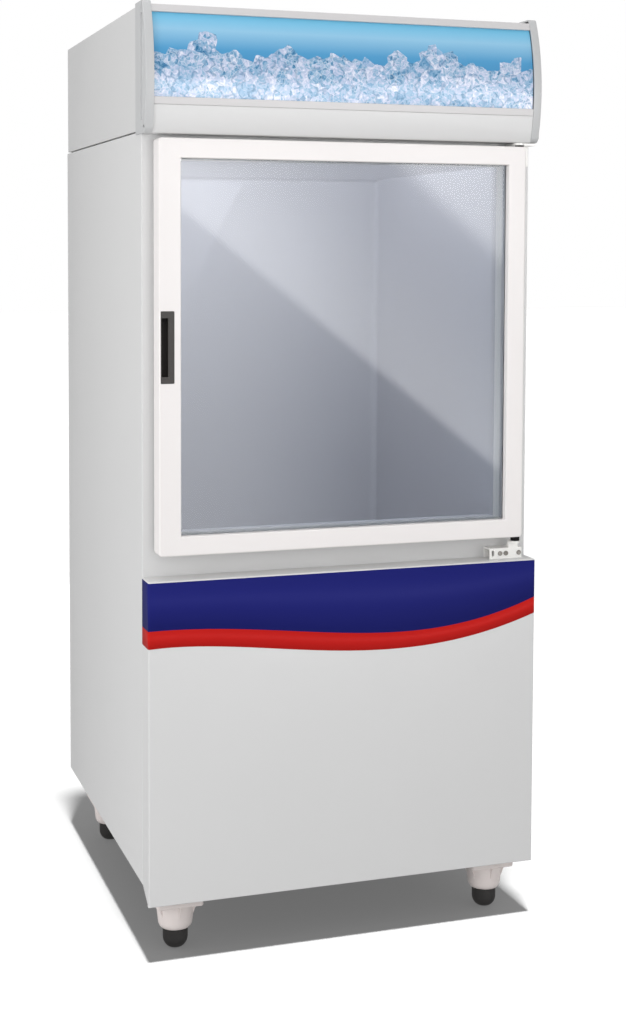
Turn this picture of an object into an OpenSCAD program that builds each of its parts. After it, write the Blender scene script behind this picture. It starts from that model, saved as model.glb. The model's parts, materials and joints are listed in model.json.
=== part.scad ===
// Ice merchandiser freezer: a foamed cabinet with a double-glazed hinged door, a condensing
// unit below it behind a folded apron, and a light-box header above the door.
// Millimetres, +Z up. The door faces -Y; the origin is on the floor, under the middle.

/* [Cabinet] */
// Width across the side panels
cabinet_w = 750; // [640:5:900]
// Depth from the apron's film to the screw heads at the back
cabinet_d = 770; // [642:2:924]
// Height of the base frame's underside above the floor
base_z = 100; // [90:1:125]
// Height of the machine compartment between the pan and the sheet under the foam
machine_h = 394; // [360:2:480]
// Clear height of the storage well from floor to ceiling
well_h = 833; // [700:5:1000]
// Foam and skins at each side
side_wall = 55; // [45:1:70]
// Foam and skins at the back
back_wall = 55; // [45:1:70]
// Foam and skins of the front wall under the door
front_wall = 55; // [45:1:70]
// Foam and skins above the well
top_wall = 46; // [40:1:60]
// Foam and skins under the well
floor_wall = 59; // [50:1:75]
// Thickness of the painted sheet
sheet = 1; // [0.8:0.1:1.2]
// Thickness of the moulded liner
liner_t = 1.5; // [1:0.5:3]
// Radius of the liner's upright corners
liner_r = 16; // [10:1:18]
// Joint between two blocks of foam
foam_joint = 0.1; // [0.1:0.1:0.5]
// Drop of the side panels' lower edge below the pan
side_drop = 16; // [10:1:20]

/* [Door] */
// Gap between the door's handle side and the cabinet's side
door_margin_l = 20; // [12:1:30]
// Gap between the door's hinge side and the cabinet's side
door_margin_r = 28; // [22:1:36]
// Thickness of the door frame
door_t = 40; // [38:1:44]
// Width of the handle stile
handle_stile_w = 40; // [38:1:48]
// Width of the other three frame bars
frame_w = 35; // [32:1:44]
// Depth of the frame's front lip before the glass
lip_d = 13; // [8:1:14]
// Thickness of each pane
pane_t = 4; // [3:1:5]
// Space between the panes
pane_gap = 12; // [9:1:14]
// How far the frame's lip covers the glass
glass_bite = 12; // [8:1:14]
// Radius of the frame's outer corners
door_corner_r = 6; // [2:1:10]
// Gap between the apron's ledge and the door
door_sill_gap = 43; // [38:1:60]
// Gap between the body's top edge and the door's top
door_top_gap = 12; // [12:1:20]
// How far the door laps over the sill
door_lap = 30; // [27:1:40]
// Distance of the gasket from the door's edge
gasket_inset = 9; // [9:1:12]
// Width of the gasket
gasket_w = 12; // [10:1:14]
// Height of the middle of the handle above the door's lower edge
handle_mid = 369; // [150:5:450]
// Height of the handle's plate
handle_h = 127; // [100:1:160]
// Width of the handle's plate
handle_w = 24.5; // [22:0.5:26]
// Depth of the finger recess
handle_depth = 24; // [16:1:28]

/* [Hinges] */
// Distance of the hinge line from the door's edge
hinge_in_x = 9; // [9:1:12]
// Distance of the hinge line behind the door's front face
hinge_in_y = 12; // [12:1:16]
// Radius of the hinge pins
pin_r = 4; // [3:0.5:5]
// Running clearance of a turning or sliding fit, on the radius
run_fit = 0.05; // [0.02:0.01:0.1]
// Clearance between faces that move past each other
face_gap = 0.3; // [0.2:0.1:0.6]

/* [Apron] */
// How far the apron and the door stand in front of the body
apron_step = 48; // [48:1:60]
// Height of the apron's ledge above the well's floor
apron_lap = 90; // [70:1:110]
// Height of the apron's lower edge above the base frame's underside
apron_lift = 5; // [2:1:12]
// Thickness of the coloured film
film_t = 0.4; // [0.3:0.1:0.6]

/* [Header] */
// Height of the light-box header at its end caps
header_h = 231; // [200:1:280]
// Radius of the header's curved front
arc_r = 340; // [300:5:420]
// Height of the curve's foremost point above the header's lower edge
arc_mid = 96; // [80:1:130]
// Depth of the end caps from the curve's foremost point
cap_d = 84; // [70:1:110]
// Width of an end cap
cap_w = 15; // [12:1:20]
// How far an end cap stands outside the side panel
cap_proud = 2.5; // [0:0.5:4]
// Shadow gap between the body's side panel and the header's
seam_gap = 3; // [2:0.5:5]
// Height of the plain valance under the graphic panel
valance_h = 48; // [35:1:60]
// Height of the strips that hold the graphic panel
strip_h = 13; // [10:1:18]
// Thickness of the graphic panel
graphic_t = 3; // [2:0.5:4]
// Radius of the lamp tube
lamp_r = 13; // [8:1:19]

/* [Feet] */
// Distance of a foot's middle from the cabinet's side
foot_in_x = 66; // [60:1:90]
// Distance of the front feet behind the apron's face
foot_in_front = 74; // [70:1:110]
// Distance of the rear feet in front of the back
foot_in_back = 113; // [80:1:150]
// Side of a foot's square flange
foot_flange = 86; // [80:1:90]
// Radius of a foot's rubber tip
tip_r = 23; // [18:1:26]
// Radius of the flat sole under the tip
sole_r = 12; // [8:1:16]
// Height of a foot's rubber tip
tip_h = 37; // [30:1:44]
// Radius of a foot's threaded stem
stem_r = 6; // [5:1:8]

/* [Machine] */
// Radius of the compressor's shell
shell_r = 92; // [80:1:100]
// Height of the compressor's shell
shell_h = 190; // [160:2:210]
// Number of tube levels in the condenser
cond_levels = 8; // [4:2:8]
// Height between the condenser's tube levels
cond_pitch = 31; // [28:1:34]
// Width of the condenser's fin pack
cond_w = 320; // [280:5:340]
// Number of condenser fins
fin_count = 22; // [12:1:28]
// Radius of the condenser fan
fan_r = 112; // [90:1:116]
// Number of fan blades
blade_count = 5; // [3:1:7]
// Louvre rows in the rear grille
louvre_rows = 9; // [5:1:10]
// Louvres in a row of the rear grille
louvre_cols = 3; // [1:1:3]
// Tube levels of the evaporator behind the liner
evap_levels = 12; // [8:2:12]
// Height between the evaporator's tube levels
evap_pitch = 50; // [44:1:54]

/* [Hidden] */
$fn = 48;
ARC_FN = 120;

// Small fixed sizes that several pieces share
EPS = 0.01;
screw_head_r = 4.5;
screw_head_h = 2.2;
screw_shank_r = 2;
base_rail_h = 44.5;
pan_t = 1.5;
return_w = 16;
rail_w = foot_flange + 4;
frame_tube_t = 2.5;
tube_r = 4;
cond_tube_r = 4.75;
pipe_bend_r = 14;
hole_slack = 0.1;

// Planes of the cabinet
half_w = cabinet_w / 2;
front_y = -cabinet_d / 2;
back_y = cabinet_d / 2 - screw_head_h;
jamb_y = front_y + apron_step;
pan_top = base_z + base_rail_h + pan_t;
side_z = pan_top - side_drop;
deck_z = pan_top + machine_h;
foam_z = deck_z + sheet;
well_floor = foam_z + floor_wall;
ceiling = well_floor + well_h;
body_top = ceiling + top_wall;
well_x = half_w - side_wall;
well_back = back_y - back_wall;
well_front = jamb_y + front_wall;

// Apron and door
apron_z = base_z + apron_lift;
apron_top = well_floor + apron_lap;
door_x0 = -half_w + door_margin_l;
door_x1 = half_w - door_margin_r;
door_z0 = apron_top + door_sill_gap;
door_z1 = body_top - door_top_gap;
door_w = door_x1 - door_x0;
door_h = door_z1 - door_z0;
door_back = front_y + door_t;
sill_z = door_z0 + door_lap;
rebate = glass_bite + 2;
glass_y = front_y + lip_d;
unit_t = 2 * pane_t + pane_gap;
hinge_x = door_x1 - hinge_in_x;
hinge_y = front_y + hinge_in_y;
bush_r = hinge_in_x - 2;
bush_flange_r = hinge_in_x - 0.5;
bush_l = 20;
low_flange_h = 8;
top_flange_h = 2.7;
arm_t = 4;

// Header
header_z = body_top - 4;
header_top = header_z + header_h;
arc_z = header_z + arc_mid;
arc_y = front_y + arc_r;
cap_back = front_y + cap_d;
cap_in = half_w + cap_proud - cap_w;
housing_top = header_top - 4;
housing_back = back_y - 8;
valance_top = header_z + valance_h;
strip_gap = 1.5;
graphic_z0 = valance_top + strip_gap;
graphic_z1 = header_top - 7;
strip_face_t = 3.5;

// Feet
foot_x = half_w - foot_in_x;
foot_front_y = front_y + foot_in_front;
foot_rear_y = cabinet_d / 2 - foot_in_back;
flange_t = 15;
flange_z = base_z - flange_t;

// Machine compartment
grille_y = back_y - 12;
cond_d = 44;
cond_y1 = grille_y - 20;
cond_y0 = cond_y1 - cond_d;
cond_x = -half_w * 0.3;
cond_row = 22;
cond_z0 = pan_top + 8;
cond_h = cond_levels * cond_pitch;
cond_end = cond_w / 2 + 4;
fan_z = cond_z0 + cond_h / 2;
fan_hub_r = 30;
shaft_r = 4;
rotor_y = cond_y0 - 22;
hub_l = 22;
blade_root = fan_hub_r - 3;
comp_x = cond_x + 30;
comp_y = cond_y0 - 214;
foot_plate_z = pan_top + 16;
comp_z = foot_plate_z + 6;
comp_hole_x = 85;
comp_hole_y = 62;
control_x0 = half_w - 140;
control_x1 = half_w - 40;
control_z1 = deck_z - 42;
control_z0 = control_z1 - 116;
control_d = 64;
control_mid_x = (control_x0 + control_x1) / 2;
knob_z = control_z0 + 76;
rocker_z = control_z0 + 26;
knob_r = 17;
knob_shaft_r = 3;
rocker_w = 20;
rocker_h = 13;
rocker_r = 15;
rocker_tilt = 9;
rocker_pin_r = 1.5;
evap_x = min(200, well_x - 100);
evap_y = well_back + liner_t + tube_r + face_gap;
evap_z0 = well_floor + 60;
evap_z1 = evap_z0 + (evap_levels - 1) * evap_pitch;
evap_bend = evap_pitch / 2;
tail_low_x = -evap_x - 22;
tail_top_x = -evap_x - evap_bend - 24;
tail_z = deck_z - 20;
drain_r = 9;
drain_x = comp_x;
drain_y = min(comp_y, well_back - 60);
tray_h = 36;
drain_z = comp_z + shell_h + tray_h - 12;
lamp_y = cap_back + 18;
lamp_z = header_z + 120;
lamp_half = cap_in - 46;

// ---------------------------------------------------------------- helpers

// Box between two opposite corners
module block(lo, hi) translate(lo) cube(hi - lo);

// Extrudes an outline drawn in Y and Z along X
module along_x(x0, x1) translate([x0, 0, 0]) rotate([90, 0, 90]) linear_extrude(x1 - x0) children();

// Extrudes an outline drawn in X and Z along Y
module along_y(y0, y1) translate([0, y1, 0]) rotate([90, 0, 0]) linear_extrude(y1 - y0) children();

// Draws its children and their mirror image across the cabinet
module both_sides() {
    children();
    mirror([1, 0, 0]) children();
}

// Rectangle between two corners with round corners
module round_rect(lo, hi, r) {
    translate([lo[0] + r, lo[1]]) square([hi[0] - lo[0] - 2 * r, hi[1] - lo[1]]);
    translate([lo[0], lo[1] + r]) square([hi[0] - lo[0], hi[1] - lo[1] - 2 * r]);
    for (x = [lo[0] + r, hi[0] - r], y = [lo[1] + r, hi[1] - r]) translate([x, y]) circle(r);
}

// Rectangular ring between an outer and an inner rectangle
module rect_ring(lo, hi, w) difference() {
    translate(lo) square(hi - lo);
    translate(lo + [w, w]) square(hi - lo - [2 * w, 2 * w]);
}

// Any direction at right angles to the unit vector d
function side_of(d) = abs(d[2]) < 0.5 ? [0, 0, 1] : [1, 0, 0];
function unit(v) = v / norm(v);

// Places children so that their own axes lie along u, v and w, with the origin at p
module in_frame(p, u, v, w)
    multmatrix([[u[0], v[0], w[0], p[0]], [u[1], v[1], w[1], p[1]], [u[2], v[2], w[2], p[2]], [0, 0, 0, 1]])
        children();

// Round tube of radius r along points joined at right angles, with bends of radius bend
module pipe(points, r, bend = pipe_bend_r) {
    last = len(points) - 1;
    for (i = [0:last - 1]) {
        d = unit(points[i + 1] - points[i]);
        a = points[i] + (i == 0 ? 0 : bend) * d;
        b = points[i + 1] - (i == last - 1 ? 0 : bend) * d;
        u = side_of(d);
        in_frame(a, u, cross(d, u), d) cylinder(r = r, h = norm(b - a));
    }
    for (i = [1:last - 1]) {
        d1 = unit(points[i] - points[i - 1]);
        d2 = unit(points[i + 1] - points[i]);
        in_frame(points[i] + bend * (d2 - d1), -d2, d1, cross(d1, d2))
            rotate_extrude(angle = 90) translate([bend, 0]) circle(r);
    }
}

// Half-turn bend of a tube from a point, opening along u and leading along d
module u_bend(p, u, d, r, bend)
    in_frame(p + bend * u, -u, d, cross(-u, d)) rotate_extrude(angle = 180) translate([bend, 0]) circle(r);

// Pan-head screw at the origin, its crowned head along -Y and its shank along +Y
module screw(shank) rotate([90, 0, 0]) {
    rotate_extrude() {
        square([screw_head_r, screw_head_h / 2]);
        square([screw_head_r - screw_head_h / 2, screw_head_h]);
        intersection() {
            translate([screw_head_r - screw_head_h / 2, screw_head_h / 2]) circle(screw_head_h / 2);
            square([screw_head_r, screw_head_h]);
        }
    }
    translate([0, 0, -shank]) cylinder(r = screw_shank_r, h = shank + EPS);
}

// Hole that a screw placed the same way passes through
module screw_hole(depth) translate([0, -1, 0]) rotate([-90, 0, 0])
    cylinder(r = screw_shank_r + hole_slack, h = depth + 1);

// Places of the screws that hold the back panel and the rear grille, in X and Z
function rear_screws() = [for (s = [-1, 1], z = concat(
    [for (i = [0:4]) deck_z + 40 + i * (body_top - deck_z - 80) / 4],
    [for (i = [0:2]) side_z + 40 + i * (deck_z - side_z - 80) / 2]
)) [s * (half_w - return_w / 2), z]];

module at_rear_screws() for (p = rear_screws()) translate([p[0], back_y, p[1]]) rotate([0, 0, 180]) children();

module rear_screw_holes() at_rear_screws() screw_hole(3 * sheet);

// ---------------------------------------------------------------- cabinet body

// Right side panel: the skin with a return behind the front frame and one at the back
module side_panel() difference() {
    front = jamb_y + sheet;
    translate([0, 0, side_z]) linear_extrude(body_top - side_z) {
        translate([half_w - sheet, front]) square([sheet, back_y - sheet - front]);
        for (y = [front, back_y - 2 * sheet])
            translate([half_w - return_w, y]) square([return_w, sheet]);
    }
    rear_screw_holes();
}

module side_panel_left() color("gainsboro") mirror([1, 0, 0]) side_panel();

module side_panel_right() color("gainsboro") side_panel();

module back_panel() color("gainsboro") difference() {
    block([-half_w, back_y - sheet, deck_z], [half_w, back_y, body_top]);
    rear_screw_holes();
}

// Plan of the space inside the body's sheets, between the side panels' returns
module body_plan() {
    translate([-half_w + sheet, jamb_y + 2 * sheet])
        square([2 * (half_w - sheet), back_y - jamb_y - 4 * sheet]);
    translate([-half_w + return_w, jamb_y + sheet])
        square([2 * (half_w - return_w), back_y - jamb_y - 2 * sheet]);
}

module top_panel() color("gainsboro")
    translate([0, 0, body_top - sheet]) linear_extrude(sheet) body_plan();

// Painted sheet round the door opening, with a leg down each side behind the apron
module front_frame() color("lightgray") along_y(jamb_y, jamb_y + sheet) difference() {
    translate([-half_w, side_z]) square([cabinet_w, body_top - side_z]);
    translate([-well_x - liner_t, sill_z - liner_t])
        square([2 * (well_x + liner_t), ceiling - sill_z + 2 * liner_t]);
    translate([-half_w + 2 * return_w, side_z - 1]) square([cabinet_w - 4 * return_w, deck_z - side_z - 19]);
}

// Sheet that closes the foam from below, drilled for the drain and the evaporator's tails
module underfloor_panel() color("silver") difference() {
    translate([0, 0, deck_z]) linear_extrude(sheet) body_plan();
    foam_bores();
}

// Passages for the drain and the evaporator's tails
module foam_bores() {
    translate([drain_x, drain_y, deck_z - 1]) cylinder(r = drain_r + hole_slack, h = floor_wall + 5);
    block([tail_top_x - 8, evap_y - tube_r - face_gap, deck_z - 1],
          [tail_low_x + 8, evap_y + tube_r + 1, evap_z0 + EPS]);
}

// The well and the throat to the door, grown by g on every side
module well_space(g) {
    floor_cut = well_floor - g;
    translate([0, 0, floor_cut]) linear_extrude(ceiling + g - floor_cut)
        round_rect([-well_x - g, well_front - g], [well_x + g, well_back + g], liner_r + g);
    block([-well_x - g, jamb_y, sill_z - g], [well_x + g, well_front + liner_r + 10, ceiling + g]);
}

// Joints that part the foam into walls, corners, ceiling and floor, in line with the well's faces
module foam_joints() {
    z0 = well_floor - liner_t;
    z1 = ceiling + liner_t;
    wall_x = well_x + liner_t;
    corner_x = well_x - liner_r;
    both_sides() {
        block([wall_x, jamb_y, foam_z - 1], [wall_x + foam_joint, back_y, body_top]);
        block([corner_x - foam_joint, jamb_y, z0], [corner_x, back_y, z1]);
    }
    for (z = [z0 - foam_joint, z1]) block([-wall_x, jamb_y, z], [wall_x, back_y, z + foam_joint]);
}

module foam_insulation() color("khaki") difference() {
    translate([0, 0, foam_z]) linear_extrude(body_top - sheet - foam_z) body_plan();
    well_space(liner_t);
    foam_joints();
    foam_bores();
    // Pocket that the evaporator lies in, against the liner's back
    block([tail_top_x - 8, well_back, evap_z0 - 12],
          [evap_x + evap_bend + 12, evap_y + tube_r + 1, evap_z1 + 12]);
}

// Moulded inner tank, open at the door
module liner() color("whitesmoke") difference() {
    well_space(liner_t);
    well_space(0);
    block([-well_x, jamb_y - 1, sill_z], [well_x, well_front, ceiling]);
    translate([drain_x, drain_y, well_floor - 5]) cylinder(r = drain_r + hole_slack, h = 10);
}

// Plastic trim that covers the joint of the liner and the front frame
module breaker_trim() color("white") {
    lip = 4;
    leg = 2;
    along_y(jamb_y - leg, jamb_y) rect_ring([-well_x - lip, sill_z - lip], [well_x + lip, ceiling + lip], lip + leg);
    along_y(jamb_y - leg, jamb_y + 24) rect_ring([-well_x, sill_z], [well_x, ceiling], leg);
}

// Serpentine tube on the liner's back, with two tails down to the machine compartment
module evaporator_coil() color("peru") {
    for (i = [0:evap_levels - 1])
        translate([-evap_x, evap_y, evap_z0 + i * evap_pitch])
            rotate([0, 90, 0]) cylinder(r = tube_r, h = 2 * evap_x);
    for (i = [0:2:evap_levels - 2])
        u_bend([evap_x, evap_y, evap_z0 + i * evap_pitch], [0, 0, 1], [1, 0, 0], tube_r, evap_bend);
    for (i = [1:2:evap_levels - 3])
        u_bend([-evap_x, evap_y, evap_z0 + i * evap_pitch], [0, 0, 1], [-1, 0, 0], tube_r, evap_bend);
    pipe([[-evap_x, evap_y, evap_z0], [tail_low_x, evap_y, evap_z0], [tail_low_x, evap_y, tail_z]], tube_r);
    pipe([[-evap_x, evap_y, evap_z1], [tail_top_x, evap_y, evap_z1], [tail_top_x, evap_y, tail_z]], tube_r);
}

// Flanged drain spout in the well's floor, ending over the drip tray
module drain_fitting() color("white") difference() {
    union() {
        translate([drain_x, drain_y, drain_z]) cylinder(r = drain_r, h = well_floor - drain_z);
        translate([drain_x, drain_y, well_floor]) cylinder(r = 2 * drain_r, h = 2);
    }
    translate([drain_x, drain_y, 0]) cylinder(r = drain_r - 2, h = ceiling);
}

// Loose bar rack that keeps the bags off the well's floor
module floor_rack() color("white") {
    bar_r = 3;
    margin = 14;
    z = well_floor + 18;
    count = floor((2 * well_x - 2 * margin - 2 * liner_r) / 34);
    pitch = (2 * well_x - 2 * margin - 2 * liner_r) / count;
    for (i = [0:count]) translate([-well_x + margin + liner_r + i * pitch, well_front + margin, z])
        rotate([-90, 0, 0]) cylinder(r = bar_r, h = well_back - well_front - 2 * margin);
    for (y = [well_front + margin + 40, (well_front + well_back) / 2, well_back - margin - 40])
        translate([-well_x + margin, y, z]) rotate([0, 90, 0]) cylinder(r = bar_r, h = 2 * (well_x - margin));
    for (x = [-1, 1], y = [well_front + margin + 40, well_back - margin - 40])
        translate([x * (well_x - margin - liner_r), y, well_floor]) cylinder(r = bar_r + 1, h = z - well_floor);
}

// ---------------------------------------------------------------- base and feet

// Box-section beam from y0 to y1 or x0 to x1, open at its ends
module beam(lo, hi, axis) difference() {
    block(lo, hi);
    t = frame_tube_t;
    grow = axis == "y" ? [t, -1, t] : [-1, t, t];
    block(lo + grow, hi - grow);
}

// Two foot beams, two cross beams and the pan that carries the condensing unit
module base_frame() color("dimgray") difference() {
    union() {
        y0 = jamb_y + 2 * sheet;
        y1 = grille_y - 4;
        for (s = [-1, 1])
            beam([s * foot_x - rail_w / 2, y0, base_z], [s * foot_x + rail_w / 2, y1, base_z + base_rail_h], "y");
        for (y = [y0 + 90, y1 - 130])
            beam([-foot_x + rail_w / 2, y, base_z + 4], [foot_x - rail_w / 2, y + 40, base_z + base_rail_h], "x");
        block([-half_w + sheet, y0, pan_top - pan_t], [half_w - sheet, y1, pan_top]);
        both_sides() block([half_w - sheet - pan_t, y0, side_z], [half_w - sheet, y1, pan_top]);
        block([-half_w + sheet, y0, side_z], [half_w - sheet, y0 + pan_t, pan_top]);
    }
    for (p = foot_places()) translate([p[0], p[1], base_z - 1])
        cylinder(r = stem_r + 1.5, h = frame_tube_t + 2);
    for (x = [-1, 1], y = [-1, 1])
        translate([comp_x + x * comp_hole_x, comp_y + y * comp_hole_y, pan_top - 3]) cylinder(r = 4.1, h = 6);
}

function foot_places() = [
    [-foot_x, foot_front_y], [foot_x, foot_front_y], [-foot_x, foot_rear_y], [foot_x, foot_rear_y]
];

// Tapered cup of a foot socket in section, radius across and height up
module socket_section() {
    top_r = foot_flange / 2 - 7;
    low_r = top_r - 6;
    low_z = tip_h + face_gap;
    curl = 10;
    // Wall of the cup, curled in under the edge
    polygon([[top_r - 3, flange_z + 2], [top_r, flange_z + 2], [top_r, flange_z],
             [low_r + 1, low_z + curl], [low_r - 2, low_z + curl], [top_r - 3, flange_z]]);
    intersection() {
        translate([low_r - curl + 1, low_z + curl]) difference() {
            circle(curl);
            circle(curl - 3);
        }
        translate([low_r - curl + 1, low_z]) square([curl, curl]);
    }
    translate([stem_r + run_fit, low_z]) square([low_r - curl + 1 - stem_r - run_fit, 3]);
    // Boss that guides the stem
    translate([stem_r + run_fit, low_z]) square([5, flange_z - low_z + 2]);
}

// Foot socket at the origin: a rimmed flange, a cup with gussets and a boss for the stem
module foot_socket() difference() {
    half = foot_flange / 2;
    union() {
        translate([0, 0, flange_z]) linear_extrude(flange_t) round_rect([-half, -half], [half, half], 5);
        rotate_extrude() socket_section();
        for (a = [30:60:330]) rotate([0, 0, a]) translate([0, 1.2, 0]) rotate([90, 0, 0]) linear_extrude(2.4)
            polygon([[half - 9, flange_z + 1], [half - 1.5, flange_z + 1], [half - 1.5, flange_z - 1],
                     [half - 10.5, flange_z - 26]]);
    }
    translate([0, 0, flange_z + 3]) linear_extrude(flange_t) difference() {
        round_rect([-half + 2.5, -half + 2.5], [half - 2.5, half - 2.5], 2.5);
        circle(stem_r + 5);
    }
    translate([0, 0, flange_z - 1]) cylinder(r = stem_r + run_fit, h = flange_t + 2);
}

module foot_sockets() color([0.77, 0.73, 0.72])
    for (p = foot_places()) translate([p[0], p[1], 0]) foot_socket();

// Levelling foot: domed rubber tip with a flat sole, on a threaded stem
module level_foot(i) color([0.16, 0.16, 0.15]) translate([foot_places()[i][0], foot_places()[i][1], 0]) {
    dome = tip_r;
    rotate_extrude() intersection() {
        square([tip_r, tip_h]);
        union() {
            translate([0, dome]) square([tip_r, tip_h - dome]);
            translate([0, 6]) square([tip_r - 6, dome - 6]);
            translate([tip_r - dome, dome]) circle(dome);
            square([sole_r, 8]);
        }
    }
    translate([0, 0, tip_h - 1]) cylinder(r = stem_r, h = base_z + base_rail_h - 4 - tip_h);
}

module level_foot_front_left() level_foot(0);

module level_foot_front_right() level_foot(1);

module level_foot_rear_left() level_foot(2);

module level_foot_rear_right() level_foot(3);

// ---------------------------------------------------------------- apron and its films

apron_y = front_y + film_t;

// Folded front cover with a ledge under the door, side flanges and a lower lip
module apron() color("gainsboro") {
    slope = side_z - apron_z;
    block([-half_w, apron_y, apron_z], [half_w, apron_y + sheet, apron_top]);
    block([-half_w, apron_y, apron_top - sheet], [half_w, jamb_y, apron_top]);
    block([-half_w, apron_y, apron_z], [half_w, apron_y + 14, apron_z + sheet]);
    both_sides() along_x(half_w - sheet, half_w)
        polygon([[apron_y, apron_z], [apron_y + 4, apron_z], [jamb_y, apron_z + slope],
                 [jamb_y, apron_top], [apron_y, apron_top]]);
}

// Point at t on the cubic curve through the control points p
function bezier(p, t) = pow(1 - t, 3) * p[0] + 3 * pow(1 - t, 2) * t * p[1]
    + 3 * (1 - t) * t * t * p[2] + pow(t, 3) * p[3];

// Control points of the two wave lines, as share of the width and drop below the ledge
wave_upper = [[0, -88], [0.363, -81], [0.648, -176], [1, -72]];
wave_lower = [[0, -120], [0.281, -106], [0.604, -210], [1, -103]];
wave_steps = 28;

function wave(line) = [for (i = [0:wave_steps]) let (p = bezier(line, i / wave_steps))
    [-half_w + p[0] * cabinet_w, apron_top + p[1]]];
function reversed(v) = [for (i = [len(v) - 1:-1:0]) v[i]];
function last_of(v) = v[len(v) - 1];

// Film on the apron's front between two lines, carried round onto both side flanges
module band_film(upper, lower) {
    along_y(front_y, apron_y) polygon(concat(upper, reversed(lower)));
    block([-half_w - film_t, front_y, lower[0][1]], [-half_w, jamb_y, upper[0][1]]);
    block([half_w, front_y, last_of(lower)[1]], [half_w + film_t, jamb_y, last_of(upper)[1]]);
}

module band_blue() color([0.16, 0.18, 0.46])
    band_film([[-half_w, apron_top], [half_w, apron_top]], wave(wave_upper));

module band_red() color([0.72, 0.15, 0.14])
    band_film(wave(wave_upper), wave(wave_lower));

// ---------------------------------------------------------------- rear grille

grille_z1 = deck_z - 0.5;
grille_half = half_w - 0.5;
grille_rim = 22;

louvre_depth = 7;
louvre_rise = 14;

// Outer form of one pressed louvre, a wedge that is thickest at its lower edge
module louvre_form(w) along_x(-w / 2, w / 2)
    polygon([[-EPS, louvre_rise], [0, louvre_rise], [louvre_depth, 0], [-EPS, 0]]);

// Space under a louvre's hood, through the sheet and out at the bottom
module louvre_space(w) along_x(-w / 2 + sheet, w / 2 - sheet)
    polygon([[-2, louvre_rise - 2.4], [0, louvre_rise - 2.4], [louvre_depth - 1.2, 0],
             [louvre_depth - 1.2, -1], [-2, -1]]);

// Recessed panel behind the machine compartment, with rows of louvres and two windows
module rear_grille() color("lightgray") {
    inner = grille_half - grille_rim;
    z0 = side_z + grille_rim;
    z1 = grille_z1 - grille_rim;
    gap = 24;
    louvre_w = (control_x0 - 26 + inner - gap * (louvre_cols + 1)) / louvre_cols;
    pitch = (z1 - z0 - 30) / louvre_rows;
    places = [for (r = [0:louvre_rows - 1], c = [0:louvre_cols - 1])
        [-inner + gap + louvre_w / 2 + c * (louvre_w + gap), grille_y + sheet, z0 + 22 + r * pitch]];
    difference() {
        union() {
            block([-grille_half, back_y - sheet, side_z], [grille_half, back_y, grille_z1]);
            block([-inner - sheet, grille_y, z0 - sheet], [inner + sheet, back_y, z1 + sheet]);
        }
        block([-inner, grille_y + sheet, z0], [inner, back_y + 1, z1]);
        for (p = places) translate(p) louvre_space(louvre_w);
        block([control_x0 - 0.5, grille_y - 1, control_z0 - 0.5],
              [control_x1 + 0.5, grille_y + 2, control_z1 + 0.5]);
        block([inlet_x - inlet_w / 2, grille_y - 1, inlet_z - inlet_h / 2],
              [inlet_x + inlet_w / 2, grille_y + 2, inlet_z + inlet_h / 2]);
        rear_screw_holes();
    }
    for (p = places) translate(p) difference() {
        louvre_form(louvre_w);
        louvre_space(louvre_w);
    }
}

// ---------------------------------------------------------------- condensing unit

// Hermetic compressor: a domed shell with a weld seam, two stubs and a foot plate
module compressor() color([0.13, 0.13, 0.14]) difference() {
    union() {
        dome = 46;
        translate([comp_x, comp_y, comp_z]) {
            rotate_extrude() {
                translate([0, dome]) square([shell_r, shell_h - 2 * dome]);
                intersection() {
                    square([shell_r, shell_h]);
                    for (z = [dome, shell_h - dome]) translate([shell_r - dome, z]) circle(dome);
                }
                square([shell_r - dome, shell_h]);
                translate([0, shell_h * 0.56]) square([shell_r + 3.5, 5]);
            }
            for (side = [-1, 1]) translate([0, 0, shell_h * 0.4]) rotate([0, side * 90, 0])
                cylinder(r = 6, h = shell_r + 16);
            translate([0, 0, shell_h * 0.5 - 20]) rotate([90, 0, 0]) cylinder(r = 17, h = shell_r + 5);
            translate([0, 0, -1]) cylinder(r = shell_r - 40, h = 4);
        }
        translate([comp_x, comp_y, foot_plate_z]) linear_extrude(6)
            for (s = [-1, 1]) round_rect([-comp_hole_x - 15, s * comp_hole_y - 15],
                                         [comp_hole_x + 15, s * comp_hole_y + 15], 8);
        translate([comp_x, comp_y, foot_plate_z])
            block([-40, -comp_hole_y, 0], [40, comp_hole_y, 6]);
    }
    for (x = [-1, 1], y = [-1, 1])
        translate([comp_x + x * comp_hole_x, comp_y + y * comp_hole_y, foot_plate_z - 1]) cylinder(r = 9, h = 8);
}

module at_grommets()
    for (x = [-1, 1], y = [-1, 1])
        translate([comp_x + x * comp_hole_x, comp_y + y * comp_hole_y, pan_top]) children();

// Waisted rubber grommets under the compressor's foot plate
module compressor_grommets() color([0.1, 0.1, 0.1]) at_grommets() rotate_extrude() {
    waist = foot_plate_z - pan_top;
    translate([4.1 + hole_slack, 0]) square([9, waist]);
    translate([4.1 + hole_slack, 0]) square([4.5, waist + 8]);
    translate([4.1 + hole_slack, waist + 6]) square([8, 3]);
}

module compressor_bolts() color("silver") at_grommets() {
    top = foot_plate_z - pan_top + 9;
    translate([0, 0, -8]) cylinder(r = 4, h = top + 17);
    translate([0, 0, top]) cylinder(r = 9, h = 1.6);
    translate([0, 0, top + 1.6]) cylinder(r = 7.5, h = 5.5, $fn = 6);
}

// Relay cover clipped over the compressor's terminals
module starter_box() color([0.2, 0.2, 0.22]) {
    y = comp_y - shell_r - 5;
    along_y(y - 32, y) round_rect([comp_x - 30, comp_z + shell_h * 0.5 - 54],
                                  [comp_x + 30, comp_z + shell_h * 0.5 + 12], 6);
    along_y(y - 34, y - 30) round_rect([comp_x - 22, comp_z + shell_h * 0.5 - 46],
                                       [comp_x + 22, comp_z + shell_h * 0.5 + 4], 4);
}

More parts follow.
